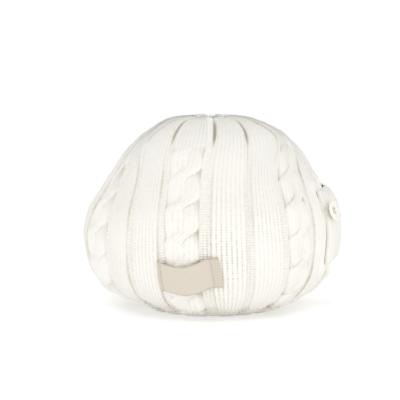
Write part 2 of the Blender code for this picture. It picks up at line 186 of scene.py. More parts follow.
# Depth to which the tab presses a panel, share of the relief that it flattens, and soft border
TAB_PRESS, PRESS_SHARE, PRESS_FADE = 1.4, 0.8, 6.0
# The tab's rim thins out and draws in to the panel over this many stitches
TAB_NEAR, TAB_THIN, TAB_DROP = 1.4, 0.9, 1.9
# Selvedge of the tab: wales and rows, rise, and width and darkness of the shade painted on its line
SELVEDGE_WALES, SELVEDGE_ROWS, SELVEDGE_RISE = 2.0, 2.5, 0.3
SELVEDGE_LINE, SELVEDGE_DARK = 0.35, 0.12
# Puckers round the button: number, start, rise and reach, and depth and reach of the dip there
PUCKERS, PUCKER_START, PUCKER_RISE, PUCKER_REACH = 7, 0.6, 0.3, 13.0
DIP_DEPTH, DIP_REACH = 0.5, 8.0
# Waves of the tab: height, radians per row and wale, radians per wale of the second, its start
TAB_WAVE, TAB_WAVE_TURNS = 0.35, (0.21, 0.12, 0.55, 0.5)

# Label: height of its top left corner, length from top to bottom, and thickness
LABEL_TOP, LABEL_DROP, LABEL_THICK = 41.6, 18.6, 0.8
# The label's lie over the middle cable
LABEL_ACROSS = (
    # azimuth, height of the inner face over the crowns
    (-23.3, 1.0),
    (-17.5, 2.8),
    (-12.0, 3.9),
    (-6.5, 3.0),
    (-1.5, 0.9),
    (2.4, 1.3),
)
# The top edge bulges out and sags over this share of the label from the left, and rises to the right
LABEL_BULGE, LABEL_SAG, LABEL_SOFT, LABEL_RISE = 1.6, 2.4, 0.8, 3.0
# The free end leans outwards by this angle towards its lower corner
LABEL_LEAN = 2.4
# Steps of the label's grid across and upwards, and round each rim
LABEL_STEPS, LABEL_RIM_STEPS = (88, 40), 3
# Height that the label stands off, and width of its folds, their soft step, rise and painted shade
LABEL_STAND, FOLD_LEFT, FOLD_RIGHT, FOLD_SOFT, FOLD_RISE, FOLD_DARK = 0.8, 2.2, 4.8, 0.6, 0.4, 0.3
# Width of the lines of painted shade on the label's rims and folds, and strength of the second
RIM_LINE, FOLD_LINE, FOLD_LINE_DARK = 0.5, 0.4, 0.8
# Waves of the label: near its rims, all over it, and at its right end
LABEL_WAVES = (
    # rise, radians per millimetre across and upwards, start
    (0.16, 0.9, 0.2, 0.0),
    (0.2, 0.35, 0.0, 1.1),
    (0.18, 0.12, 0.7, 0.0),
)
# Reach of the waves near the rims, and share of the width where those of the right end start
LABEL_RIM_REACH, LABEL_END_SHARE = 4.0, 0.7
# Tacks: number at each end, lowest and highest share of the drop, and share of the width
TACKS, TACK_ROWS, TACK_PLACE = 9, (0.1, 0.9), 0.018
# Length of a tack, radius of its thread, and number of its points
TACK_LENGTH, TACK_THREAD, TACK_STEPS = 1.6, 0.13, 7
# Share of a tack inwards of its place, its arch and slant, and how its end drops to the cloth
TACK_INNER, TACK_ARCH, TACK_SLANT, TACK_EDGE, TACK_DROP = 0.35, 0.32, 0.5, 0.62, 2.6

# Overcast seams: length kept from hem and top edge, pitch of stitches, points of each
SEAM_LOW, SEAM_TOP, SEAM_PITCH, SEAM_STEPS = 3.0, 6.0, 3.6, 9
# A seam's stitch: slant, reach to each side, yarn, and height of its ends and of its arch
SEAM_SLANT, SEAM_REACH, SEAM_YARN, SEAM_SUNK, SEAM_ARCH = 1.8, 2.1, 0.55, -1.1, 1.5
# Spread of the stitches' places, and their least reach and its spread as shares
SEAM_SHIFT, SEAM_LEAST, SEAM_SPREAD = 0.8, 0.85, 0.3
# Angle along a half sine at which a length of yarn starts, so that its ends are blunt, and sides
YARN_TIP, YARN_SIDES = 0.12, 6

# Button: place of its middle, radius and thickness
BUTTON_AZIMUTH, BUTTON_HEIGHT, BUTTON_RADIUS, BUTTON_THICK = 65.8, 66.4, 6.5, 2.8
# Wells: radius, pitch, depth, and share of the profile's points that are underneath
WELL_RADIUS, WELL_PITCH, WELL_DEPTH, BUTTON_UNDER = 0.85, 2.6, 1.3, 0.55
# Rings of the button and points in each, and level of its face as a share of the thickness
BUTTON_RINGS, BUTTON_STEPS, BUTTON_FACE = 40, 48, 0.66
BUTTON_PROFILE = (
    # share of the radius, share of the thickness
    (0.0, 0.0),
    (0.7, 0.0),
    (1.0, 0.35),
    (1.0, 0.75),
    (0.92, 1.0),
    (0.8, 1.0),
    (0.66, 0.72),
    (0.0, BUTTON_FACE),
)
# Thread of the button: radius, depth of its ends, height of its arches, half the step between
# the two, and number of its points
THREAD_RADIUS, THREAD_SUNK, THREAD_ARCH, THREAD_OVER, THREAD_STEPS = 0.34, 0.4, 0.85, 0.12, 9

# Colours
# The third wool colour is painted shade, blended in where the cloth is hollow, grooved or pleated
WOOL_WHITE, WOOL_CREAM, WOOL_SHADE = (0.965, 0.946, 0.895), (0.95, 0.928, 0.872), (0.54, 0.485, 0.38)
# The last tape colour is painted shade, blended in along the label's rims and folds
TAPE_BEIGE, TAPE_DARK, TAPE_SHADE = (0.77, 0.70, 0.61), (0.64, 0.57, 0.48), (0.46, 0.39, 0.30)
# The last pearl colour is painted shade, nearly black, in the button's wells
PEARL_CREAM, PEARL_WARM, PEARL_WELL_SHADE = (0.93, 0.91, 0.86), (0.84, 0.80, 0.72), (0.10, 0.08, 0.06)
THREAD_CREAM = (0.88, 0.85, 0.78)
# Twist of the plies: turns in a row, turns over a leg, height; purl inside: wave in rows, height
PLY_TURNS, PLY_SLANT, PLY_HEIGHT, INNER_WAVE, INNER_HEIGHT = 3.0, 5.0, 0.16, 0.28, 1.6
# Scale and detail of noise on Object coordinates, or on the tape's map for its slubs
FUZZ_NOISE, TINT_NOISE, SLUB_NOISE = (1500.0, 3.0), (45.0, 2.0), (2.2, 3.0)
CLOUD_NOISE, THREAD_NOISE = (260.0, 2.0), (2600.0, 2.0)
# Slubs run along the tape: scale of their noise across, upwards and outwards
SLUB_STRETCH = (0.12, 1.4, 1.0)
# Tape: pitch of warp and weft, share of the weave in its relief, and strength of the shade painted on its
# rims and folds
TAPE_WARP, TAPE_WEFT, TAPE_WEAVE, TAPE_SHADE_SHARE = 0.45, 0.38, 0.5, 0.6
# Distance in metres and strength of the reliefs
WOOL_BUMP, TAPE_BUMP, THREAD_BUMP = (0.00035, 0.5), (0.0002, 0.6), (0.0001, 0.5)

# Stage, in metres: brightness of the surroundings level and overhead, where that fades between
# them as the upward part of the direction, and the floor's brightness, glow, reach and drop
WHITE = (1.0, 1.0, 1.0)
SKY_SIDE, SKY_TOP, SKY_FROM, SKY_TO = 1.06, 0.76, 0.05, 0.9
FLOOR_WHITE, FLOOR_GLOW, FLOOR_REACH, FLOOR_DROP = 0.79, 0.33, 4.0, 0.0002
SOFTBOXES = (
    # name, size, watts, place, tip and turn
    ("front_softbox", 1.2, 3.5, (-0.25, -1.2, 0.8), 59, -12),
    ("side_softbox", 0.9, 1.2, (1.15, -0.2, 0.5), 69, 80),
)
# Camera: the place it looks at, its distance and tip, and focal length and sensor in millimetres
CAMERA_AIM, CAMERA_DISTANCE, CAMERA_TIP = (-0.0089, 0.0, 0.0699), 1.1, 7.0
CAMERA_LENS, CAMERA_SENSOR = 148.5, 36.0


# Small maths

# Multiples that make chance numbers, length of a step to find a slope, and steps of a search
CHANCE_MIX, SLOPE_STEP, SEARCH_STEPS = (12.9898, 78.233, 43758.5453), 0.5, 400


def smooth_through(keys, values, at):
    """The smooth curve through (keys, values): a cubic on each stretch, whose slope at each key is
    the mean of the slopes on both sides, weighted by the other side's length."""
    keys, values, at = (np.asarray(numbers, float) for numbers in (keys, values, at))
    steps = np.diff(keys)
    rises = np.diff(values) / steps
    inner = (rises[:-1] * steps[1:] + rises[1:] * steps[:-1]) / (steps[1:] + steps[:-1])
    slopes = np.concatenate(([rises[0]], inner, [rises[-1]]))
    k = np.clip(np.searchsorted(keys, at, side="right") - 1, 0, len(steps) - 1)
    t = np.clip((at - keys[k]) / steps[k], 0.0, 1.0)
    start = (2 * t**3 - 3 * t**2 + 1) * values[k] + (t**3 - 2 * t**2 + t) * steps[k] * slopes[k]
    end = (3 * t**2 - 2 * t**3) * values[k + 1] + (t**3 - t**2) * steps[k] * slopes[k + 1]
    return start + end


def ramp(low, high, at):
    """0 below low, 1 above high, with a soft start and end between them."""
    t = np.clip((at - low) / (high - low), 0.0, 1.0)
    return t * t * (3 - 2 * t)


def bell(at, reach):
    """1 at 0, dying out to both sides with the square of the distance over the reach."""
    return np.exp(-((at / reach) ** 2))


def mixed(first, second, share):
    """The first where the share is 0, the second where it is 1, and a straight mix between."""
    return first + share * (second - first)


def chance(first, second):
    """An even spread of numbers from 0 to 1, one for each pair of numbers: the fraction of a large
    multiple of the sine of a mix of the two."""
    by_first, by_second, spread = CHANCE_MIX
    return np.mod(np.sin(first * by_first + second * by_second) * spread, 1.0)


# Outline of the dome

SECTION_RADII, SECTION_HEIGHTS = np.array(SECTIONS).T
SECTION_STEPS = np.hypot(np.diff(SECTION_RADII), np.diff(SECTION_HEIGHTS))
SECTION_KEYS = np.concatenate(([0.0], np.cumsum(SECTION_STEPS)))
LENGTH = SECTION_KEYS[-1]
ROWS = round(LENGTH / ROW_PITCH)


def outline(along):
    """Radius and height of the outline at a length along it from the hem."""
    radius = smooth_through(SECTION_KEYS, SECTION_RADII, along)
    return radius, smooth_through(SECTION_KEYS, SECTION_HEIGHTS, along)


def outline_normal(along):
    """Outward direction of the outline, as its radial and upward parts: its slope turned a quarter."""
    radius_a, height_a = outline(along - SLOPE_STEP)
    radius_b, height_b = outline(along + SLOPE_STEP)
    run = np.hypot(radius_b - radius_a, height_b - height_a)
    return (height_b - height_a) / run, (radius_a - radius_b) / run


def length_at(height):
    """Length along the outline at which it reaches a height."""
    steps = np.linspace(0.0, LENGTH, SEARCH_STEPS)
    return np.interp(height, outline(steps)[1], steps)


def seam_azimuth(radius, half_gap):
    """Azimuth of a panel's edge that stays half_gap away from the plane of the seams."""
    return 90.0 - np.degrees(np.arcsin(half_gap / radius))


def slit_half(height):
    """Half the width of the pointed slit on the left: a parabola over its height."""
    middle = (SLIT_LOW + SLIT_HIGH) / 2
    t = (height - middle) / (SLIT_HIGH - middle)
    return SEAM_GAP / 2 + SLIT_HALF * np.clip(1 - t * t, 0.0, 1.0)


def slot_half(height):
    """Half the width of the long slot on the right, which tapers at both ends."""
    opened = ramp(SLOT_LOW, SLOT_LOW + SLOT_TAPER, height)
    closed = ramp(SLOT_HIGH - SLOT_TAPER, SLOT_HIGH, height)
    return SEAM_GAP / 2 + SLOT_HALF * opened * (1 - closed)


def swell(azimuth, along):
    """Slow, shallow swells of hand-pulled cloth: each is the product of two sine waves."""
    angle = np.radians(azimuth)
    total = 0.0
    for height, turn, run, second_turn, second_run, start in SWELLS:
        second = np.sin(angle * second_turn + along * second_run + start)
        total = total + height * np.sin(angle * turn + along * run) * second
    return total


def drawn_in(azimuth, along):
    """How far the cover draws in. Above its widest part only the side with the slit does: a bell
    curve round the slit, times a ramp that fades out at the gathered edge. At the hem all of it
    does, and more on that side."""
    side = bell(azimuth - SHOULDER_SIDE, SHOULDER_REACH)
    shoulder = SHOULDER_IN * side * ramp(*SHOULDER_FROM, along) * (1 - ramp(*SHOULDER_TO, along))
    return shoulder + (FOOT_IN + FOOT_SIDE * side) * (1 - ramp(*FOOT_TO, along))


# Stitches

def knit_height(wale, row):
    """Height of V stitches from 0 in the gaps to 1 on the yarn. Each wale has two legs, which rise
    outwards from its middle: across a leg the height is one less a power of the distance from the
    leg's middle line, and along it the same over each row."""
    across = 2 * np.abs(np.mod(wale, 1.0) - 0.5)
    along = np.mod(row - LEG_SLANT * across, 1.0)
    leg = 1 - np.abs(2 * across - 1) ** LEG_POWER
    leg = np.where(across < 0.5, np.maximum(leg, LEG_MIDDLE), leg)
    loop = 1 - np.abs(2 * along - 1) ** LOOP_POWER
    return np.maximum(leg * (0.5 + 0.5 * loop), LOOP_HEIGHT * loop)


def knit_holes(wale, row):
    """Painted shade in the holes between wales, from 0 to 1: a bell curve across the gap, cut into
    dots by a cosine of the rows."""
    gap = np.minimum(np.mod(wale, 1.0), np.mod(-wale, 1.0))
    dot = 0.5 + 0.5 * np.cos(2 * math.pi * (row - HOLE_ROW))
    return bell(gap, HOLE_WIDTH) * (HOLE_LINE + (1 - HOLE_LINE) * dot**DOT_POWER)


def purl_height(wale, row):
    """Height of purl bumps from 0 to 1: arcs across the wales, a row apart, that wave up on a wale's
    middle and down between wales as a cosine."""
    wave = np.cos(2 * math.pi * wale)
    along = np.mod(row + 0.5 + PURL_WAVE * wave, 1.0)
    return (1 - np.abs(2 * along - 1) ** 2) * (PURL_MIDDLE - PURL_SWING * wave)


def loosened(stitch, wale, row):
    """Height of a stitch over its middle, by chance a little more or less than its neighbours."""
    return stitch * (1 + LOOSE * (chance(wale, row) - 0.5)) - 0.5


def strand(across, t, width):
    """Height of one strand of a rope cable, and place across it in wales, at a time t before or
    after its crossing. It runs up the left side, crosses in front to the right side along a sine,
    and sinks by the square of the time, more after the crossing than before. Its top is rounded
    by a power."""
    centre = STRAND_SWING * np.sin(np.clip(t / CABLE_CROSSING, -1, 1) * math.pi / 2)
    aside = (across / (width / 2) - centre) / STRAND_HALF
    sink = np.where(t > 0, CABLE_DIVE, CABLE_SINK) * t**2
    round_top = np.sqrt(np.clip(1 - np.abs(aside) ** STRAND_ROUND, 0, 1))
    return CABLE_BASE + CABLE_RISE * round_top - sink, (aside + 1) * STRAND_WALES / 2


def rope(across, along, width, sharp_side, share):
    """Height over its floor, place across its strand in wales, and groove of a two-strand rope
    cable, where shade is painted. The highest of three strands shows, each one crossing after the
    last. The valley between two is sharp, with a groove of painted shade along one side of the
    crossing strand, which is the right-hand one for sharp_side 1 and the left-hand one for -1.
    Elsewhere it is filled by the square of how near the two are. The share is that of the full height."""
    turn = (along - CABLE_FIRST) / CABLE_PITCH
    times = turn - np.round(turn) - np.array([-1, 0, 1])[:, None, None]
    lifts, wales = strand(across, times, width)
    order = np.argsort(lifts, axis=0)
    second, high = (np.take_along_axis(lifts, order[k][None], axis=0)[0] for k in (1, 2))
    wale, time = (np.take_along_axis(part, order[2][None], axis=0)[0] for part in (wales, times))
    crossing = ramp(-CABLE_CROSSING - CABLE_EARLY, -CABLE_CROSSING / 3, time)
    crossing = crossing * (1 - ramp(CABLE_CROSSING, 2 * CABLE_CROSSING, time))
    sharp = np.where((order[2] - order[1]) * sharp_side > 0, crossing, CABLE_SOFT)
    near = np.where(second > 0, np.clip(1 - (high - second) / CABLE_FILL, 0, 1), 0.0)
    filled = high + (1 - sharp) * CABLE_FILL / 4 * near**2
    groove = np.where(second > 0, 1 - ramp(0.0, CABLE_GROOVE, high - second), 0.0) * sharp
    return np.maximum(share * filled, 0.0), wale, groove


# Sheets of cloth

def cloth_points(azimuth, along, lift, thick, row_turn, column_turn, inside=False):
    """Points of a sheet of cloth on the dome. The outer face lies `lift` above the outline. At the
    sheet's rims its surface turns over by row_turn and column_turn, round half circles as thick as
    the cloth; turned fully it is the inner face."""
    radius, height = outline(along)
    out, up = outline_normal(along)
    level = ramp(0.0, HEM_TURN, along)
    angle = np.radians(azimuth)
    turn_cos = np.cos(row_turn) * np.cos(column_turn)
    turn_cos = -np.abs(turn_cos) if inside else turn_cos
    sunk = -thick / 2 * (1 - turn_cos)
    over_rim = thick / 2 * np.sin(row_turn) * np.abs(np.cos(column_turn))
    over_side = thick / 2 * np.sin(column_turn) * np.abs(np.cos(row_turn))
    radius = radius + lift * (1 + (out - 1) * level) + sunk * out - over_rim * up
    height = height + lift * up * level + sunk * up + over_rim * out
    x = AXIS_X + radius * np.sin(angle) + over_side * np.cos(angle)
    y = -radius * np.cos(angle) + over_side * np.sin(angle)
    return np.stack(np.broadcast_arrays(x, y, np.maximum(height, 0.0)), axis=-1)


def rimmed_line(start, end, count, steps, low_rim=True, high_rim=True):
    """Evenly spaced places from one side of a sheet to the other, and the turn of the surface at
    each: none over the flat middle, and up to a quarter turn in a few steps at each rim. A side
    that is only a cut between two pieces has no rim."""
    quarter = np.linspace(0.0, math.pi / 2, steps + 1)[1:]
    low, high = steps * low_rim, steps * high_rim
    places = np.pad(np.linspace(start, end, count), (low, high), mode="edge")
    return places, np.concatenate([-quarter[::-1][:low], np.zeros(count), quarter[:high]])


def fans(outer, inner, steps):
    """Triangles between a fine line of points and a coarse one, whose points face every steps-th of
    the fine ones: a fan from each coarse point and one triangle to the next."""
    left, right = inner[:-1], inner[1:]
    tris = [np.stack([left, outer[k:-1:steps], outer[k + 1 :: steps]], axis=1) for k in range(steps)]
    tris.append(np.stack([left, outer[steps::steps], right], axis=1))
    return np.concatenate(tris)


def faces_between(*corners):
    """Faces from equal arrays of point numbers, one for each corner."""
    return np.stack([corner.ravel() for corner in np.broadcast_arrays(*corners)], axis=1)


def grid_faces(numbers):
    """Four-cornered faces of a grid of point numbers, which face outwards when the columns run to the
    right and the rows upwards."""
    return faces_between(numbers[:-1, :-1], numbers[:-1, 1:], numbers[1:, 1:], numbers[1:, :-1])


def make_mesh(name, points, quads, tris, place=None, marks=None):
    """A smooth mesh object from arrays of points in millimetres, and of faces with four and three
    corners. place holds each point's place on the flat cloth, such as its wale and row, and marks
    holds named values for each point."""
    mesh = bpy.data.meshes.new(name)
    mesh.vertices.add(len(points))
    mesh.vertices.foreach_set("co", (points * MM).astype(np.float32).ravel())
    corners = np.concatenate([quads.ravel(), tris.ravel()]).astype(np.int32)
    mesh.loops.add(len(corners))
    mesh.loops.foreach_set("vertex_index", corners)
    starts = np.concatenate([np.arange(len(quads)) * 4, quads.size + np.arange(len(tris)) * 3])
    mesh.polygons.add(len(quads) + len(tris))
    mesh.polygons.foreach_set("loop_start", starts.astype(np.int32))
    mesh.update(calc_edges=True)
    mesh.validate()
    mesh.shade_smooth()
    if place is not None:
        layer = mesh.uv_layers.new(name="cloth")
        layer.uv.foreach_set("vector", place[corners].astype(np.float32).ravel())
    for mark, values in (marks or {}).items():
        layer = mesh.attributes.new(mark, "FLOAT", "POINT")
        layer.data.foreach_set("value", values.astype(np.float32))
    obj = bpy.data.objects.new(name, mesh)
    bpy.context.scene.collection.objects.link(obj)
    return obj


def sheet_mesh(name, outer, inner, place, painted_shade, steps):
    """A closed sheet of cloth from the points of its outer face, a grid of rows and columns, and of
    its inner face, which has every so many-th row and column, as steps says."""
    row_steps, column_steps = steps
    outside = np.arange(outer.shape[0] * outer.shape[1]).reshape(outer.shape[:2])
    inside = outside.size + np.arange(inner.shape[0] * inner.shape[1]).reshape(inner.shape[:2])
    quads = np.concatenate([grid_faces(outside), grid_faces(inside)[:, ::-1]])
    tris = np.concatenate([
        fans(outside[0], inside[0], column_steps)[:, ::-1],
        fans(outside[-1], inside[-1], column_steps),
        fans(outside[:, 0], inside[:, 0], row_steps),
        fans(outside[:, -1], inside[:, -1], row_steps)[:, ::-1],
    ])
    points = np.concatenate([outer.reshape(-1, 3), inner.reshape(-1, 3)])
    inner_place = place[::row_steps, ::column_steps].reshape(-1, 2)
    both_places = np.concatenate([place.reshape(-1, 2), inner_place])
    # Painted shade of each point: from the outer face's mark, and an even shade on the inner face
    marks = {
        "painted_shade": np.concatenate([painted_shade.ravel(), np.full(inside.size, INSIDE_SHADE)]),
        "inside": np.concatenate([np.zeros(outside.size), np.ones(inside.size)]),
    }
    return make_mesh(name, points, quads, tris, both_places, marks)


def cloth_sheet(name, surface, thick, turns, steps, place, painted_shade, half_round=False):
    """A closed sheet of cloth on the dome. surface holds its azimuths, lengths, body heights and
    the relief raised on the outer face alone, and place the two numbers of its map. The inner face
    has fewer lines, and turns over the rims a little short of a half turn."""
    azimuth, along, body, raised = surface
    thick = np.broadcast_to(thick, azimuth.shape)
    row_turn, column_turn = turns
    outer = cloth_points(azimuth, along, body + raised, thick, row_turn[:, None], column_turn[None, :])
    picked = tuple(slice(None, None, step) for step in steps)
    inner_row, inner_column = (
        np.sign(turn[part]) * math.radians(INNER_TURN) for turn, part in zip(turns, picked)
    )
    inner = cloth_points(
        azimuth[picked], along[picked], body[picked], thick[picked],
        inner_row[:, None], inner_column[None, :], True,
    )
    if half_round:
        outer, inner = turned_round(outer), turned_round(inner)
    map_places = np.stack(np.broadcast_arrays(*place), axis=-1)
    return sheet_mesh(name, outer, inner, map_places, painted_shade, steps)


def turned_round(points):
    """Points turned half round about the dome's upright axis."""
    return (points - (AXIS_X, 0.0, 0.0)) * (-1.0, -1.0, 1.0) + (AXIS_X, 0.0, 0.0)


def finish(piece, material):
    """Gives a piece its material and body."""
    piece.data.materials.append(material)
    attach(piece, "root")


def finish_cloth(piece, material, node):
    """Gives a piece of cloth its material and body, and hides the solid that it stands for."""
    finish(piece, material)
    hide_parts(node)


# Knitted panel

LEFT_PURLS = np.array([0] + [right for left, right in PURL_WALES])
RIGHT_PURLS = np.array([left for left, right in PURL_WALES] + [0])
WALE_LINES = np.concatenate([[0], np.cumsum(LEFT_PURLS + np.array(RIB_WALES) + RIGHT_PURLS)])


def rib_lines(along, left_half, right_half):
    """Azimuths of a panel's left edge, nine troughs and right edge, one row for each length."""
    radius, height = outline(along)
    line_keys = length_at(np.array(LINE_HEIGHTS))
    troughs = [smooth_through(line_keys, line, along) for line in RIB_LINES]
    left = -seam_azimuth(radius, left_half(height) + CLOTH / 2)
    right = seam_azimuth(radius, right_half(height) + CLOTH / 2)
    lines = np.stack([left, *troughs, right], axis=1)
    lines[:, 1] = np.maximum(lines[:, 1], left + EDGE_BAND)
    lines[:, -2] = np.minimum(lines[:, -2], right - EDGE_BAND)
    return lines


class PanelGrid:
    """Where the stitches of a panel lie, on a grid of lengths by wales. In a rib, the purl wales
    keep their width beside its lines, or less where the rib is narrow, and the knit wales share
    the rest evenly."""

    def __init__(self, wale, along, lines):
        last = len(RIB_WALES) - 1
        rib = np.clip(np.searchsorted(WALE_LINES, wale + NUDGE, side="right") - 1, 0, last)
        self.rib = rib
        self.knit = np.array(RIB_WALES)[rib]
        self.before, self.beyond = LEFT_PURLS[rib], RIGHT_PURLS[rib]
        self.place = wale - WALE_LINES[rib] - self.before
        widths = np.radians(np.diff(lines, axis=1)) * outline(along)[0][:, None]
        squeeze = np.minimum(1.0, widths / FULL_RIB)[:, rib]
        self.width = widths[:, rib]
        self.left = self.before * PURL_WIDTH * squeeze
        self.right = self.beyond * PURL_WIDTH * squeeze
        self.inner = self.width - self.left - self.right
        self.distance = self.from_left_line()
        self.share = self.distance / self.width
        self.azimuth = mixed(lines[:, rib], lines[:, rib + 1], self.share)
        self.length = np.broadcast_to(along[:, None], self.share.shape)
        self.rows = self.length / ROW_PITCH
        self.number = np.broadcast_to(self.place + RIB_COUNT * rib, self.share.shape)
        self.is_purl = (self.place < 0) | (self.place > self.knit)

    def from_left_line(self):
        """Distance of each stitch from the line on its rib's left."""
        distance = self.left + self.place / self.knit * self.inner
        in_purl = (self.place + self.before) / np.maximum(self.before, 1) * self.left
        distance = np.where(self.place < 0, in_purl, distance)
        past = (self.place - self.knit) / np.maximum(self.beyond, 1)
        return np.where(past > 0, self.width - self.right * (1 - past), distance)


def pleating(length):
    """How far the cloth lies in pleats, from 0 to 1, and the depth of its troughs: both grow below
    the top edge and shrink again at its rim."""
    rim = ramp(PLEAT_END, LENGTH, length)
    pleat = ramp(PLEAT_START, PLEAT_FULL, length) * (1 - (1 - RIM_PLEAT) * rim)
    return pleat, mixed(TROUGH_DEPTH, PLEAT_DEPTH, pleat) * (1 - (1 - RIM_DEPTH) * rim)


def trough_wall(gap, half, length):
    """1 on the floor of a trough, 0 beyond its wall: a steep ramp at the floor's edge, which closes
    to a narrow slot in the pleats."""
    floor = mixed(half, np.minimum(half, PLEAT_FLOOR), ramp(PLEAT_CLOSE, PLEAT_START, length))
    return 1 - ramp(floor - TROUGH_WALL, floor + TROUGH_WALL, gap)


def ribbed_body(grid):
    """Height of the ribs, depth of their troughs, and painted shade in the pleats. The troughs are
    flat-floored furrows on the lines, and the ribs half sine waves between them."""
    pleat, depth = pleating(grid.length)
    depth = np.minimum(depth, DEPTH_SHARE * grid.width)
    to_right = grid.width - grid.distance
    left_wall = np.where(grid.before > 0, trough_wall(grid.distance, grid.left, grid.length), 0.0)
    right_wall = np.where(grid.beyond > 0, trough_wall(to_right, grid.right, grid.length), 0.0)
    puff = RIB_PUFF * np.sin(math.pi * grid.share) * (1 + PLEAT_PUFF * pleat)
    on_left = grid.share < 0.5
    has_line = np.where(on_left, grid.before, grid.beyond) > 0
    near_line = np.where(has_line, np.where(on_left, grid.distance, to_right), FULL_RIB)
    slot = pleat * (1 - ramp(PLEAT_FLOOR, PLEAT_FLOOR + PLEAT_SHADE, near_line))
    return puff - depth * np.maximum(left_wall, right_wall), depth, slot


def edge_grooves(grid):
    """Grooves along both edges of a rib's knit wales, which sink the cloth and are painted with shade:
    a bell curve across, with a beat in each row, which fade out where the troughs close."""
    from_right = grid.width - grid.distance - grid.right
    edge = np.minimum(np.abs(grid.distance - grid.left), np.abs(from_right))
    beat = 1 - EDGE_BEAT + EDGE_BEAT * np.cos(2 * math.pi * grid.rows)
    strength = np.where(grid.share < 0.5, EDGE_LEFT[grid.rib], EDGE_RIGHT[grid.rib])
    groove = bell(edge, EDGE_WIDTH) * beat * strength
    return groove * (1 - ramp(PLEAT_CLOSE, PLEAT_START, grid.length))


def pulled_open(grid):
    """1 where the stitches are pulled open the most, dying out as a bell curve both ways."""
    aside = (grid.azimuth - OPEN_PLACE[0]) / OPEN_REACH[0]
    above = (grid.length - OPEN_PLACE[1]) / OPEN_REACH[1]
    return np.exp(-(aside**2) - above**2)


def lay_cable(cloth, depth, grid, cable):
    """Lays a rope cable over its rib, with a soft start and end, and a line of painted shade along its
    foot.
    """
    sharp_side, cable_share = CABLES[cable]
    mine = (grid.rib == cable) & (grid.place > -NUDGE) & (grid.place < grid.knit + NUDGE)
    if not mine.any():
        return
    length, rows, inner = grid.length[:, mine], grid.rows[:, mine], grid.inner[:, mine]
    across = grid.distance[:, mine] - grid.left[:, mine] - inner / 2
    lift, wale, seam = rope(across, length, inner, sharp_side, cable_share)
    shown = ramp(CABLE_HEM, CABLE_LOW, length) * (1 - ramp(CABLE_TOP, CABLE_END, length))
    on_floor = lift <= 0
    foot = CABLE_EDGE * cable_share**2 * (1 - ramp(0.0, CABLE_FOOT, lift))
    rope_cloth = {
        "body": lift - depth[:, mine],
        "stitch": np.where(on_floor, purl_height(grid.number[:, mine], rows), knit_height(wale, rows)),
        "groove": np.maximum(seam, foot),
        "holes": np.where(on_floor, CABLE_FLOOR, knit_holes(wale, rows)) * CABLE_HOLES,
    }
    for field, rope_values in rope_cloth.items():
        cloth[field][:, mine] = mixed(cloth[field][:, mine], rope_values, shown)


def pressed(grid, tab_side, tab_edge):
    """1 where the tab lies over this panel and presses its ribs flat, 0 away from it."""
    height = outline(grid.length)[1]
    under = ramp(tab_edge - PRESS_FADE, tab_edge, grid.azimuth * tab_side)
    above = ramp(TAB_LOW - PRESS_FADE, TAB_LOW, height)
    return under * above * (1 - ramp(TAB_HIGH, TAB_HIGH + PRESS_FADE, height))


def knitted_cloth(grid):
    """The fields of a panel's cloth by name: heights of its body and stitches, rise of the stitches,
    and the grooves, holes, slots between pleats and extra darkness of holes that set its painted
    shade. It has knit stitches on the ribs, purl in the troughs, cables over some ribs, and knots
    along the hem."""
    body, depth, slot = ribbed_body(grid)
    groove, pulled = edge_grooves(grid), pulled_open(grid)
    purl, knit = purl_height(grid.number, grid.rows), knit_height(grid.number, grid.rows)
    stitch, holes = np.where(grid.is_purl, purl, knit), knit_holes(grid.number, grid.rows)
    shut = PURL_DARK * (1 - stitch) ** 2 * (1 - pulled)
    cloth = {
        "body": body - EDGE_DEPTH * groove,
        "stitch": stitch,
        "groove": groove,
        "holes": np.where(grid.is_purl, shut + PURL_OPEN * pulled * holes, holes),
        "slot": slot,
    }
    for cable in CABLES:
        lay_cable(cloth, depth, grid, cable)
    hem = 1 - ramp(HEM_BAND - HEM_SOFT, HEM_BAND + HEM_SOFT, grid.length)
    knots = purl_height(grid.number + HEM_SLANT * grid.rows, HEM_ROW * grid.rows)
    cloth["stitch"] = mixed(cloth["stitch"], knots, hem)
    cloth["holes"] = mixed(cloth["holes"], HEM_HOLES * (1 - knots) ** DOT_POWER, hem)
    cloth["rise"] = mixed(np.where(grid.is_purl, PURL_RISE, KNIT_RISE), HEM_RISE, hem)
    cloth["dark"] = HOLE_PULLED * pulled + HEM_DARK * hem
    return cloth


def painted_cloth_shade(grid, cloth, press):
    """How much shade is painted on the cloth in its grooves, holes and pleats: their sum, uneven
    from hole to hole and with a slow shade, the product of two sine waves."""
    along, turn, second_along, by_rib = SHADE_WAVE
    shade = np.sin(grid.length * along + grid.azimuth * turn)
    shade = SHADE_SHARE * shade * np.sin(grid.length * second_along + grid.rib * by_rib)
    chances = chance(np.floor(grid.number) + HOLE_CHANCE, np.floor(grid.rows - HOLE_ROW + 0.5))
    dark = (HOLE_DARK * (1 + shade) + cloth["dark"]) * (HOLE_LEAST + HOLE_SPREAD * chances)
    creases = CREASE_DARK * cloth["groove"] * (CREASE_SHARE + shade)
    holes = dark * cloth["holes"] * (1 - press)
    return np.clip(creases + holes + PLEAT_DARK * cloth["slot"], 0.0, 1.0)


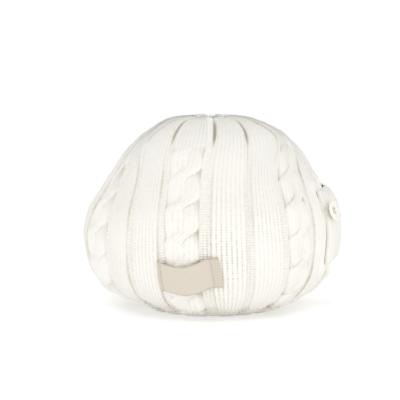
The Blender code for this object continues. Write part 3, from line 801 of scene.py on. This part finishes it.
def panel_piece(name, first_rib, end_rib, halves, tab_side, tab_edge):
    """Ribs first_rib to end_rib of a knitted panel, as one closed piece of cloth."""
    first, end = WALE_LINES[first_rib], WALE_LINES[end_rib]
    count = (end - first) * WALE_STEPS + 1
    rims = first_rib == 0, end_rib == len(RIB_WALES)
    wale, column_turn = rimmed_line(first, end, count, WALE_STEPS, *rims)
    along, row_turn = rimmed_line(0.0, LENGTH, ROWS * ROW_STEPS + 1, ROW_STEPS)
    # Ribs of a piece are found from its own middle, so that a shared line belongs to both pieces
    grid = PanelGrid(np.clip(wale, first, end - INSIDE_NUDGE), along, rib_lines(along, *halves))
    cloth, press = knitted_cloth(grid), pressed(grid, tab_side, tab_edge)
    painted_shade = painted_cloth_shade(grid, cloth, press)
    body = cloth["body"] + swell(grid.azimuth, grid.length)
    body = body - drawn_in(grid.azimuth * tab_side, grid.length)
    body = body * (1 - PRESS_SHARE * press) - TAB_PRESS * press
    raised = cloth["rise"] * loosened(cloth["stitch"], np.floor(grid.number), np.floor(grid.rows))
    raised = raised * (1 - PRESS_SHARE * press)
    return cloth_sheet(
        name, (grid.azimuth, along[:, None], body, raised), CLOTH, (row_turn, column_turn),
        (ROW_STEPS, WALE_STEPS), (wale[None, :], along[:, None] / ROW_PITCH), painted_shade, tab_side < 0,
    )


def knitted_panels(wool):
    """Front and back panel, each in three pieces that share their lines of stitches."""
    sides = (
        ("front", "front_panel", (slit_half, slot_half), 1, TAB_FRONT),
        ("back", "back_panel", (slot_half, slit_half), -1, 180 - TAB_BACK),
    )
    for side, node, halves, tab_side, tab_edge in sides:
        for part, first_rib, end_rib in zip(("left", "middle", "right"), PIECE_RIBS, PIECE_RIBS[1:]):
            piece = panel_piece(f"{side}_ribs_{part}", first_rib, end_rib, halves, tab_side, tab_edge)
            finish_cloth(piece, wool, node)


# Tab

def button_distance(azimuth, along):
    """Distance over the dome from the middle of the button, and direction there."""
    radius = outline(length_at(BUTTON_HEIGHT))[0]
    aside = np.radians(azimuth - BUTTON_AZIMUTH) * radius
    above = along - length_at(BUTTON_HEIGHT)
    return np.hypot(aside, above), np.arctan2(above, aside)


def tab_cloth(azimuth, length, number, row):
    """Body height, raised stitches, thickness and painted shade of the tab. Its rim is thinner, and
    has a rounded selvedge as a bump of one sine half. Shallow puckers round the button are a cosine
    that dies out with the square of the distance, and slow waves a product of two sines."""
    side, end = np.minimum(number, TAB_WALES - number), np.minimum(row, TAB_ROWS - row)
    selvedge = np.sin(math.pi * np.clip(side / SELVEDGE_WALES, 0, 1))
    selvedge = selvedge + np.sin(math.pi * np.clip(end / SELVEDGE_ROWS, 0, 1))
    away, turn = button_distance(azimuth, length)
    pucker = PUCKER_RISE * np.cos(turn * PUCKERS + PUCKER_START) * bell(away, PUCKER_REACH)
    pucker = pucker - DIP_DEPTH * bell(away, DIP_REACH)
    by_row, by_wale, second_wale, start = TAB_WAVE_TURNS
    wave = TAB_WAVE * np.sin(row * by_row + number * by_wale) * np.sin(number * second_wale + start)
    near = np.maximum(bell(side, TAB_NEAR), bell(end, TAB_NEAR))
    body = TAB_CLEAR - TAB_PRESS + TAB_THICK + TAB_RIDGE + wave + pucker + SELVEDGE_RISE * selvedge
    stitch = loosened(knit_height(number, row), np.floor(number) + TAB_CHANCE, np.floor(row))
    rim = bell(side, SELVEDGE_LINE) + bell(end, SELVEDGE_LINE)
    # Painted shade in the holes between wales and along the selvedge
    painted_shade = np.clip(HOLE_DARK * knit_holes(number, row) + SELVEDGE_DARK * rim, 0, 1)
    return body - TAB_DROP * near, KNIT_RISE * stitch, TAB_THICK - TAB_THIN * near, painted_shade


def button_tab(wool):
    """The knitted tab: upright wales, between a straight back edge and a front edge whose corners
    are drawn back by a steep power."""
    wale, column_turn = rimmed_line(0, TAB_WALES, TAB_WALES * WALE_STEPS + 1, WALE_STEPS)
    rows, row_turn = rimmed_line(0, TAB_ROWS, TAB_ROWS * ROW_STEPS + 1, ROW_STEPS)
    low, high = length_at(TAB_LOW) + TAB_THICK / 2, length_at(TAB_HIGH) - TAB_THICK / 2
    along = low + (high - low) * rows[:, None] / TAB_ROWS
    corner = np.abs(2 * rows[:, None] / TAB_ROWS - 1) ** TAB_CORNER_POWER
    rim = np.degrees(TAB_THICK / 2 / outline(along)[0])
    azimuth = mixed(TAB_FRONT + TAB_CORNER * corner + rim, TAB_BACK - rim, wale[None, :] / TAB_WALES)
    number, row = np.broadcast_arrays(wale[None, :], rows[:, None])
    body, raised, thick, painted_shade = tab_cloth(azimuth, along, number, row)
    tab = cloth_sheet(
        "button_tab_knit", (azimuth, along, body, raised), thick, (row_turn, column_turn),
        (ROW_STEPS, WALE_STEPS), (number, row), painted_shade,
    )
    finish_cloth(tab, wool, "button_tab")


# Label

def label_surface(share, up):
    """Azimuth, length from the hem and height of the label over the dome at a share of its width
    and of its drop. It rides over the middle cable, and its top edge sags and stands off as half a
    sine wave."""
    keys, lifts = np.array(LABEL_ACROSS).T
    azimuth = keys[0] + share * (keys[-1] - keys[0])
    soft = np.sin(math.pi * np.clip(share / LABEL_SOFT, 0.0, 1.0))
    top = length_at(LABEL_TOP) - LABEL_SAG * soft + LABEL_RISE * share**2
    along = top - (1 - up) * LABEL_DROP
    lift = smooth_through(keys, lifts, azimuth) + LABEL_BULGE * soft * up**2
    return azimuth + LABEL_LEAN * share * (1 - up), along, lift


def label_relief(x, y, width):
    """Height and painted shade that the label's rims, folds and waves add, at a place on it. Its
    ends are folded under, which makes them thicker by a soft step, and its waves are sines, one
    near the rims, one all over and one near the right end."""
    folded = np.maximum(FOLD_LEFT - x, FOLD_RIGHT - (width - x))
    fold = ramp(0.0, FOLD_SOFT, folded)
    rims = np.minimum(y, LABEL_DROP - y)
    shares = (1 - ramp(0.0, LABEL_RIM_REACH, rims), 1.0, ramp(LABEL_END_SHARE * width, width, x))
    height = LABEL_STAND + FOLD_RISE * fold
    for (rise, across, upwards, start), share in zip(LABEL_WAVES, shares):
        height = height + rise * np.sin(x * across + y * upwards + start) * share
    dark = bell(rims, RIM_LINE) + FOLD_LINE_DARK * bell(folded, FOLD_LINE) + FOLD_DARK * fold
    return height, np.clip(dark, 0, 1)


def woven_label(tape):
    """The label, from its surface on the dome and the relief of its folds and waves."""
    columns, rows = LABEL_STEPS
    share, column_turn = rimmed_line(0, 1, columns + 1, LABEL_RIM_STEPS)
    up, row_turn = rimmed_line(0, 1, rows + 1, LABEL_RIM_STEPS)
    azimuth, along, lift = label_surface(share[None, :], up[:, None])
    width = math.radians(LABEL_ACROSS[-1][0] - LABEL_ACROSS[0][0]) * outline(length_at(LABEL_TOP))[0]
    x, y = np.broadcast_arrays(share[None, :] * width, up[:, None] * LABEL_DROP)
    relief, painted_shade = label_relief(x, y, width)
    label = cloth_sheet(
        "woven_label_tape", (azimuth, along, lift + relief, 0.0), LABEL_THICK, (row_turn, column_turn),
        (1, 1), (x, y), painted_shade,
    )
    finish_cloth(label, tape, "woven_label")


# Yarn and thread

def unit(vectors):
    """Vectors shortened to a length of one."""
    return vectors / np.linalg.norm(vectors, axis=-1, keepdims=True)


def tubes(name, lines, outward, radius):
    """Short lengths of yarn in one mesh: a ring of points round each point of each line, in the
    plane of the outward direction and the one square to it and to the line, smaller at both ends,
    which close in a point."""
    count, steps = lines.shape[:2]
    run = np.gradient(lines, axis=1)
    side = unit(np.cross(run, outward))
    lift = unit(np.cross(side, run))
    angle = np.arange(YARN_SIDES)[:, None] * 2 * math.pi / YARN_SIDES
    size = radius * np.sqrt(np.sin(np.linspace(YARN_TIP, math.pi - YARN_TIP, steps)))
    ring = np.cos(angle) * side[:, :, None] + np.sin(angle) * lift[:, :, None]
    points = (lines[:, :, None] + size[:, None, None] * ring).reshape(-1, 3)
    numbers = np.arange(len(points)).reshape(count, steps, YARN_SIDES)
    after = np.roll(numbers, -1, axis=2)
    quads = faces_between(numbers[:, :-1], numbers[:, 1:], after[:, 1:], after[:, :-1])
    first_tips, last_tips = len(points) + np.arange(2 * count).reshape(2, count, 1)
    starts = faces_between(first_tips, numbers[:, 0], after[:, 0])
    ends = faces_between(last_tips, after[:, -1], numbers[:, -1])
    points = np.concatenate([points, lines[:, 0], lines[:, -1]])
    return make_mesh(name, points, quads, np.concatenate([starts, ends]))


def dome_points(azimuth, along, lift):
    """Points `lift` above the outline, and the outward direction there."""
    radius, height = outline(along)
    out, up = outline_normal(along)
    angle = np.radians(azimuth)
    radius = radius + lift * out
    points = (AXIS_X + radius * np.sin(angle), -radius * np.cos(angle), height + lift * up)
    outward = (out * np.sin(angle), -out * np.cos(angle), up)
    return [np.stack(np.broadcast_arrays(*parts), axis=-1) for parts in (points, outward)]


def seam_yarn(wool):
    """Overcast stitches that join the panels above and below the slit and the slot: slanted arches,
    each half a sine wave high and one seam's width long."""
    spans = (
        (-90.0, SEAM_LOW, length_at(SLIT_LOW)),
        (-90.0, length_at(SLIT_HIGH), LENGTH - SEAM_TOP),
        (90.0, SEAM_LOW, length_at(SLOT_LOW)),
        (90.0, length_at(SLOT_HIGH), LENGTH - SEAM_TOP),
    )
    places = [np.arange(low, high, SEAM_PITCH) for side, low, high in spans]
    sides = [np.full(len(seam), side) for seam, (side, low, high) in zip(places, spans)]
    places, sides = np.concatenate(places)[:, None], np.concatenate(sides)[:, None]
    t = np.linspace(0.0, 1.0, SEAM_STEPS)[None, :]
    uneven = chance(places, sides)
    along = places + SEAM_SLANT * (t - 0.5) + SEAM_SHIFT * (uneven - 0.5)
    reach = SEAM_REACH * (SEAM_LEAST + SEAM_SPREAD * uneven)
    azimuth = sides + np.degrees((t - 0.5) * 2 * reach / outline(along)[0])
    lift = SEAM_SUNK + SEAM_ARCH * np.sin(math.pi * t) - drawn_in(sides, along)
    lines, outward = dome_points(azimuth, along, lift)
    finish(tubes("seam_yarn", lines, outward, SEAM_YARN), wool)


def label_tacks(thread):
    """Small stitches that hold the folded ends of the label: short arches across each end, half a
    sine wave high, whose outer part drops to the cloth."""
    up = np.linspace(*TACK_ROWS, TACKS)
    up = np.concatenate([up, up[::-1]])[:, None]
    share = np.repeat([TACK_PLACE, 1 - TACK_PLACE], TACKS)[:, None]
    outwards = np.where(share < 0.5, -1.0, 1.0)
    t = np.linspace(0.0, 1.0, TACK_STEPS)[None, :]
    azimuth, along, lift = label_surface(share, up)
    azimuth = azimuth + np.degrees((t - TACK_INNER) * TACK_LENGTH * outwards / outline(along)[0])
    drop = np.clip(t - TACK_EDGE, 0, 1) * TACK_DROP
    lift = lift + LABEL_STAND + FOLD_RISE + TACK_ARCH * np.sin(math.pi * t) - drop
    lines, outward = dome_points(azimuth, along + TACK_SLANT * (t - 0.5), lift)
    finish(tubes("label_tacks", lines, outward, TACK_THREAD), thread)


# Button

def button_frame():
    """Middle of the button's lower face, and its outward, sideways and upward directions."""
    along = length_at(BUTTON_HEIGHT)
    lift = TAB_CLEAR - TAB_PRESS + 2 * TAB_RIDGE + TAB_THICK + SEAM_GAP
    centre, outward = dome_points(np.array(BUTTON_AZIMUTH), np.array(along), lift)
    angle = math.radians(BUTTON_AZIMUTH)
    sideways = np.array([math.cos(angle), math.sin(angle), 0.0])
    return centre, outward, sideways, np.cross(sideways, -outward)


def on_button(sideways, upward, height):
    """Points from places on the button's face and heights over its lower face."""
    centre, outward, aside, above = button_frame()
    parts = (sideways, aside), (upward, above), (height, outward)
    return centre + sum(np.asarray(amount)[..., None] * direction for amount, direction in parts)


def smooth_profile(keys, count):
    """Evenly spaced points along a line through the keys, whose corners are rounded by averaging
    each point with its neighbours, without the two ends."""
    keys = np.array(keys)
    steps = np.concatenate([[0], np.cumsum(np.hypot(*np.diff(keys, axis=0).T))])
    at = np.linspace(0, steps[-1], count)
    line = np.stack([np.interp(at, steps, keys[:, k]) for k in (0, 1)], axis=1)
    return (line[:-2] + line[1:-1] + line[2:]) / 3


def button_wells(x, y, on_top):
    """How deep the four wells of the button are, from 0 to 1: each sinks the face by a bell curve of
    the square of the distance from its middle."""
    shift = WELL_PITCH / 2
    well = np.zeros(x.shape)
    for across, above in ((-shift, -shift), (shift, -shift), (-shift, shift), (shift, shift)):
        well = np.maximum(well, bell((x - across) ** 2 + (y - above) ** 2, WELL_RADIUS**2))
    return well * on_top


def button(pearl):
    """A round button turned from a profile: each point of the profile is carried round a circle,
    and both middles are closed by a fan. Four wells sink its face."""
    profile = smooth_profile(BUTTON_PROFILE, BUTTON_RINGS)
    angle = np.arange(BUTTON_STEPS) * 2 * math.pi / BUTTON_STEPS
    radius, level = profile[:, 0, None] * BUTTON_RADIUS, profile[:, 1, None] * BUTTON_THICK
    x, y = radius * np.cos(angle), radius * np.sin(angle)
    well = button_wells(x, y, (np.arange(len(profile)) > len(profile) * BUTTON_UNDER)[:, None])
    points = on_button(x, y, level - WELL_DEPTH * well).reshape(-1, 3)
    numbers = np.arange(x.size).reshape(x.shape)
    after = np.roll(numbers, -1, axis=1)
    quads = faces_between(numbers[:-1], after[:-1], after[1:], numbers[1:])
    poles = on_button(np.zeros(2), np.zeros(2), np.array([level[0, 0], level[-1, 0]]))
    under = faces_between(len(points), after[0], numbers[0])
    over = faces_between(len(points) + 1, numbers[-1], after[-1])
    # Painted shade: the wells are marked for a nearly black colour, as deep holes would be in shade
    marks = {"painted_shade": np.concatenate([well.ravel(), [0.0, 0.0]])}
    tris = np.concatenate([under, over])
    disc = make_mesh("pearl_button", np.concatenate([points, poles]), quads, tris, None, marks)
    finish(disc, pearl)
    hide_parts("button")


def button_thread(thread):
    """Two arches of thread that cross between the wells: each is the root of half a sine wave high,
    and one lies a little over the other."""
    t = np.linspace(0.0, 1.0, THREAD_STEPS)[None, :]
    slope = np.array([[1.0], [-1.0]])
    reach = (2 * t - 1) * WELL_PITCH / 2
    arch = BUTTON_FACE * BUTTON_THICK - THREAD_SUNK + THREAD_ARCH * np.sin(math.pi * t) ** 0.5
    lines = on_button(reach * np.ones((2, 1)), reach * slope, arch + THREAD_OVER * slope)
    outward = np.broadcast_to(button_frame()[1], lines.shape)
    finish(tubes("button_thread", lines, outward, THREAD_RADIUS), thread)


# Materials

def new_material(name, colour, values):
    """A material with a base colour and values for named sockets of its Principled BSDF."""
    material = bpy.data.materials.new(name)
    material.use_nodes = True
    shader = material.node_tree.nodes["Principled BSDF"]
    shader.inputs["Base Color"].default_value = (*colour, 1.0)
    for socket, value in values.items():
        shader.inputs[socket].default_value = value
    return material, material.node_tree, shader


def new_group(name, inputs, outputs):
    """A node group with named sockets, and the nodes that its inputs and outputs end in."""
    group = bpy.data.node_groups.new(name, "ShaderNodeTree")
    for kind, sockets in (("INPUT", inputs), ("OUTPUT", outputs)):
        for socket, form in sockets.items():
            group.interface.new_socket(name=socket, in_out=kind, socket_type=f"NodeSocket{form}")
    return group, group.nodes.new("NodeGroupInput"), group.nodes.new("NodeGroupOutput")


def placed_group(tree, group):
    """The node that puts a group into a material."""
    node = tree.nodes.new("ShaderNodeGroup")
    node.node_tree = group
    return node


def worked_out(tree, operation, *terms):
    """The outcome of one sum on sockets or numbers."""
    node = tree.nodes.new("ShaderNodeMath")
    node.operation = operation
    for k, term in enumerate(terms):
        if isinstance(term, (int, float)):
            node.inputs[k].default_value = term
        else:
            tree.links.new(term, node.inputs[k])
    return node.outputs["Value"]


def full_turns(tree, operation, turns):
    """The sine or cosine of a number of full turns."""
    return worked_out(tree, operation, worked_out(tree, "MULTIPLY", turns, 2 * math.pi))


def parted(tree, vector):
    """The three parts of a vector."""
    node = tree.nodes.new("ShaderNodeSeparateXYZ")
    tree.links.new(vector, node.inputs["Vector"])
    return node.outputs


def noise(tree, vector, scale, detail):
    """Soft noise from 0 to 1 at a place."""
    node = tree.nodes.new("ShaderNodeTexNoise")
    node.inputs["Scale"].default_value = scale
    node.inputs["Detail"].default_value = detail
    tree.links.new(vector, node.inputs["Vector"])
    return node.outputs["Fac"]


def attribute(tree, name):
    """A value that the mesh holds for each point."""
    node = tree.nodes.new("ShaderNodeAttribute")
    node.attribute_name = name
    return node.outputs["Fac"]


def cloth_map(tree):
    """Place on the flat cloth: wale and row, or millimetres on the label."""
    node = tree.nodes.new("ShaderNodeUVMap")
    node.uv_map = "cloth"
    return node.outputs["UV"]


def object_place(tree):
    """Place in the room, in metres."""
    return tree.nodes.new("ShaderNodeTexCoord").outputs["Object"]


def blended(tree, factor, first, second):
    """Two colours blended by a factor."""
    node = tree.nodes.new("ShaderNodeMix")
    node.data_type = "RGBA"
    tree.links.new(factor, node.inputs["Factor"])
    for socket, colour in (("A", first), ("B", second)):
        if isinstance(colour, tuple):
            node.inputs[socket].default_value = (*colour, 1.0)
        else:
            tree.links.new(colour, node.inputs[socket])
    return node.outputs["Result"]


def bumped(tree, shader, height, distance, strength):
    """Gives a shader a relief finer than the mesh."""
    node = tree.nodes.new("ShaderNodeBump")
    node.inputs["Distance"].default_value = distance
    node.inputs["Strength"].default_value = strength
    tree.links.new(height, node.inputs["Height"])
    tree.links.new(node.outputs["Normal"], shader.inputs["Normal"])


def yarn_surface():
    """Relief finer than the mesh. Outside, the twist of the plies: a sine across both legs of a
    stitch, which slants the other way on each. Inside, the purl side: a sine along the rows that
    waves with the wales. Fine noise over both is the fuzz."""
    group, given, result = new_group(
        "yarn_surface", {"Map": "Vector", "Place": "Vector", "Inside": "Float"},
        {"Height": "Float", "Tint": "Float"},
    )
    wale, row = parted(group, given.outputs["Map"])[:2]
    off_middle = worked_out(group, "SUBTRACT", worked_out(group, "FRACT", wale), 0.5)
    slant = worked_out(group, "MULTIPLY", worked_out(group, "ABSOLUTE", off_middle), PLY_SLANT)
    twist = full_turns(group, "SINE", worked_out(group, "MULTIPLY_ADD", row, PLY_TURNS, slant))
    outside = worked_out(group, "MULTIPLY", twist, PLY_HEIGHT)
    waved = worked_out(group, "MULTIPLY_ADD", full_turns(group, "COSINE", wale), INNER_WAVE, row)
    purl = worked_out(group, "MULTIPLY", full_turns(group, "SINE", waved), INNER_HEIGHT)
    change = worked_out(group, "SUBTRACT", purl, outside)
    pattern = worked_out(group, "MULTIPLY_ADD", change, given.outputs["Inside"], outside)
    fuzz = noise(group, given.outputs["Place"], *FUZZ_NOISE)
    group.links.new(worked_out(group, "ADD", pattern, fuzz), result.inputs["Height"])
    group.links.new(noise(group, given.outputs["Place"], *TINT_NOISE), result.inputs["Tint"])
    return group


def wool_material():
    """Cream wool: paler on the yarn, with warm painted shade in the hollows between stitches, in
    grooves and pleats and on the inner face, and slow shifts between a whiter and a warmer cream."""
    values = {"Roughness": 0.95, "Sheen Weight": 0.2, "Sheen Roughness": 0.6}
    material, tree, shader = new_material("cream_wool", WOOL_CREAM, values)
    yarn = placed_group(tree, yarn_surface())
    tree.links.new(cloth_map(tree), yarn.inputs["Map"])
    tree.links.new(object_place(tree), yarn.inputs["Place"])
    tree.links.new(attribute(tree, "inside"), yarn.inputs["Inside"])
    cream = blended(tree, yarn.outputs["Tint"], WOOL_WHITE, WOOL_CREAM)
    # Painted shade: the cream darkens towards the warm shade colour by each point's shade mark
    colour = blended(tree, attribute(tree, "painted_shade"), cream, WOOL_SHADE)
    tree.links.new(colour, shader.inputs["Base Color"])
    bumped(tree, shader, yarn.outputs["Height"], *WOOL_BUMP)
    return material


def tape_weave():
    """Plain weave of the tape: the product of a sine along the warp and one along the weft, and
    soft noise for slubs in its threads."""
    group, given, result = new_group("tape_weave", {"Map": "Vector"}, {"Height": "Float", "Slub": "Float"})
    across, upwards = parted(group, given.outputs["Map"])[:2]
    waves = []
    for place, pitch in ((across, TAPE_WARP), (upwards, TAPE_WEFT)):
        turn = worked_out(group, "MULTIPLY", place, math.pi / pitch)
        waves.append(worked_out(group, "SINE", turn))
    weave = worked_out(group, "MULTIPLY", *waves)
    squash = group.nodes.new("ShaderNodeMapping")
    squash.inputs["Scale"].default_value = SLUB_STRETCH
    group.links.new(given.outputs["Map"], squash.inputs["Vector"])
    slub = noise(group, squash.outputs["Vector"], *SLUB_NOISE)
    relief = worked_out(group, "MULTIPLY_ADD", weave, TAPE_WEAVE, slub)
    group.links.new(relief, result.inputs["Height"])
    group.links.new(slub, result.inputs["Slub"])
    return group


def tape_material():
    """Bare beige tape: slubbed threads, with painted shade along its selvedges and folds."""
    values = {"Roughness": 0.9, "Sheen Weight": 0.1}
    material, tree, shader = new_material("beige_tape", TAPE_BEIGE, values)
    weave = placed_group(tree, tape_weave())
    tree.links.new(cloth_map(tree), weave.inputs["Map"])
    threads = blended(tree, weave.outputs["Slub"], TAPE_DARK, TAPE_BEIGE)
    # Painted shade: the threads darken towards a shade colour along the rims and folds
    edge = worked_out(tree, "MULTIPLY", attribute(tree, "painted_shade"), TAPE_SHADE_SHARE)
    tree.links.new(blended(tree, edge, threads, TAPE_SHADE), shader.inputs["Base Color"])
    bumped(tree, shader, weave.outputs["Height"], *TAPE_BUMP)
    return material


def pearl_material():
    """Cream pearl: glossy and slightly coated, clouded by slow noise, with dark painted shade in its
    wells.
    """
    values = {"Roughness": 0.18, "Coat Weight": 0.6, "Coat Roughness": 0.08}
    material, tree, shader = new_material("cream_pearl", PEARL_CREAM, values)
    cloud = noise(tree, object_place(tree), *CLOUD_NOISE)
    cloudy = blended(tree, cloud, PEARL_WARM, PEARL_CREAM)
    colour = blended(tree, attribute(tree, "painted_shade"), cloudy, PEARL_WELL_SHADE)
    tree.links.new(colour, shader.inputs["Base Color"])
    return material


def thread_material():
    """Cream cotton thread: matt, with the relief of fine noise."""
    values = {"Roughness": 0.7, "Sheen Weight": 0.2}
    material, tree, shader = new_material("cream_thread", THREAD_CREAM, values)
    bumped(tree, shader, noise(tree, object_place(tree), *THREAD_NOISE), *THREAD_BUMP)
    return material


# Stage

def studio_world():
    """Even white surroundings, a little dimmer overhead: a straight fade on the upward part of the
    direction of view."""
    world = bpy.data.worlds.new("studio")
    world.use_nodes = True
    tree = world.node_tree
    direction = tree.nodes.new("ShaderNodeTexCoord").outputs["Generated"]
    fade = tree.nodes.new("ShaderNodeMapRange")
    ends = {"From Min": SKY_FROM, "From Max": SKY_TO, "To Min": SKY_SIDE, "To Max": SKY_TOP}
    for socket, value in ends.items():
        fade.inputs[socket].default_value = value
    tree.links.new(parted(tree, direction)["Z"], fade.inputs["Value"])
    tree.links.new(fade.outputs["Result"], tree.nodes["Background"].inputs["Strength"])
    tree.nodes["Background"].inputs["Color"].default_value = (*WHITE, 1.0)
    return world


def pale_floor():
    """A broad pale floor that glows a little, just under the hem."""
    mesh = bpy.data.meshes.new("floor")
    signs = (-1, -1), (1, -1), (1, 1), (-1, 1)
    mesh.from_pydata([(x * FLOOR_REACH, y * FLOOR_REACH, 0.0) for x, y in signs], [], [(0, 1, 2, 3)])
    floor = bpy.data.objects.new("floor", mesh)
    bpy.context.scene.collection.objects.link(floor)
    floor.location.z = -FLOOR_DROP
    values = {"Roughness": 0.9, "Emission Color": (*WHITE, 1.0), "Emission Strength": FLOOR_GLOW}
    mesh.materials.append(new_material("pale_floor", (FLOOR_WHITE,) * 3, values)[0])


def studio_light():
    """Even white surroundings, a broad soft light in front and a weak one aside."""
    bpy.context.scene.world = studio_world()
    for name, size, watts, place, tip, turn in SOFTBOXES:
        light = bpy.data.lights.new(name, "AREA")
        light.size = size
        light.energy = watts
        lamp = bpy.data.objects.new(name, light)
        lamp.location = place
        lamp.rotation_euler = (math.radians(tip), 0.0, math.radians(turn))
        bpy.context.scene.collection.objects.link(lamp)
    bpy.context.scene.view_settings.view_transform = "Standard"


def camera():
    """The photograph's view: straight from the front, tipped down a little, on a long lens."""
    tip = math.radians(CAMERA_TIP)
    data = bpy.data.cameras.new("camera")
    data.sensor_width = CAMERA_SENSOR
    data.lens = CAMERA_LENS
    eye = bpy.data.objects.new("camera", data)
    aside, ahead, above = CAMERA_AIM
    eye.location = (
        aside, ahead - CAMERA_DISTANCE * math.cos(tip), above + CAMERA_DISTANCE * math.sin(tip)
    )
    eye.rotation_euler = (math.pi / 2 - tip, 0.0, 0.0)
    bpy.context.scene.collection.objects.link(eye)
    bpy.context.scene.camera = eye


def write_sizes():
    """Updates the view layer."""
    bpy.context.view_layer.update()


camera()
pale_floor()
studio_light()
wool, thread = wool_material(), thread_material()
knitted_panels(wool)
seam_yarn(wool)
button_tab(wool)
button(pearl_material())
button_thread(thread)
woven_label(tape_material())
label_tacks(thread)
write_sizes()
